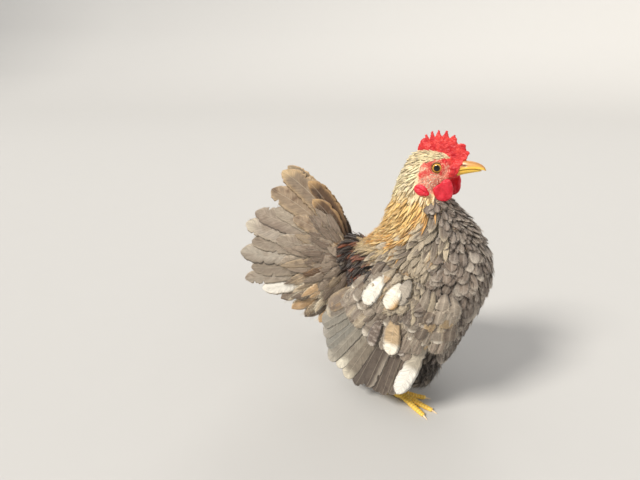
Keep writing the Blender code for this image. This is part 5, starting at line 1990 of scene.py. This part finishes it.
def grounded(piece):
    # nothing dips into the floor
    for vertex in piece.data.vertices:
        vertex.co.z = max(vertex.co.z, leg["floorGap"] * mm)


def buildShank(side, name, scales):
    hock = Vector((leg["hock"][0], side * leg["hock"][1], leg["hock"][2]))
    ankle = Vector((leg["ankle"][0] + footShift(side), side * leg["ankle"][1], leg["ankle"][2] - 1.5))
    down = (ankle - hock).normalized()
    front = Vector((1, 0, 0)) - down * down.x
    front.normalize()
    sideways = down.cross(front)

    def place(share, turn):
        radius = leg["radius"] * (1.12 - 0.2 * math.sin(pi * share)) * closing(share, 0.03, 0.02)
        wave = (share * leg["plates"] + 0.3 * abs(math.sin(turn))) % 1.0
        ahead = ease(0.0, 0.5, max(0.0, math.cos(turn)))
        rise = (0.28 * ease(0.0, 0.3, wave) - 0.42 * ease(0.82, 0.98, wave)) * ahead
        out = front * math.cos(turn) + sideways * math.sin(turn) * 0.88
        return tuple(hock.lerp(ankle, share) + out * (radius + rise))

    def groove(x, y, z, out):
        at = Vector((x, y, z))
        share = max(0.0, min(1.0, (at - hock).dot(down) / (ankle - hock).length))
        ahead = (at - hock.lerp(ankle, share)).normalized().dot(front)
        wave = (share * leg["plates"] + 0.3 * math.sqrt(max(0.0, 1 - ahead * ahead))) % 1.0
        return ease(0.8, 0.97, wave) * ease(0.0, 0.5, ahead)

    shank = finished(drawn(*leg["shankMesh"], place), f"shank_scales_{name}")
    painted(shank, "groove", groove)
    placedOn(shank, scales, (f"shank_{name}",))


def buildClaw(side, name, label, turn, length, horn):
    ahead = Vector((*heading(side, turn), 0))
    start, radius = toeAt(side, turn, length, 1.0)
    across, up = Vector((-ahead.y, ahead.x, 0)), Vector((0, 0, 1))

    def place(share, turn):
        along = 1 - share
        drop = start.z * along**1.6 * leg["clawDrop"]
        at = start + ahead * leg["clawLength"] * (along - leg["clawSunk"]) - Vector((0, 0, drop))
        thick = mix(*leg["claw"], along) * closing(share, 0.04, 0.04)
        return tuple(at + (across * math.cos(turn) * 0.8 + up * math.sin(turn)) * thick)

    piece = finished(drawn(*leg["clawMesh"], place), f"claw_horn_{label}_{name}")
    grounded(piece)
    placedOn(piece, horn, (f"claw_{label}_{name}",))


skin = buildSkin()
print("skin done")
buildCoat(skin)
longVane = featherFinish("flight_feather", 110.0, 28.0, 0.11, 0.56, (226, 212, 190), 0.45)
shortVane = featherFinish("covert_feather", 52.0, 17.0, 0.10, 0.60, (232, 220, 200), 0.35)
looseBarb = barbFinish("flight_barb")
for side, name in sides:
    buildWing(side, name, (longVane, looseBarb), (shortVane, looseBarb))
    buildTail(side, name, (longVane, looseBarb), (shortVane, looseBarb))
print("wings and tail done")
combFlesh = fleshFinish("comb_flesh", (194, 20, 36), (232, 72, 64), 1500.0, 0.40)
wattleFlesh = fleshFinish("wattle_flesh", (204, 16, 42), (236, 62, 78), 1700.0, 0.38)
lidFlesh = fleshFinish("lid_flesh", (206, 112, 70), (240, 176, 120), 1700.0, 0.45)
buildComb(combFlesh)
buildGape(skin.data.materials[0])
buildLobes(wattleFlesh)
billHorn = billFinish()
for half in ("upper", "lower"):
    billHalfPiece(half, billHorn)
iris = eyeFinish()
for side, name in sides:
    buildEye(side, name, iris, lidFlesh)
print("head done")
scales, horn = scaleFinish(), clawFinish()
for side, name in sides:
    buildFoot(side, name, scales)
    buildShank(side, name, scales)
    for label, turn, length, plates in leg["toes"]:
        buildClaw(side, name, label, turn, length, horn)
print("legs done")
makeCamera()
makeStudio()
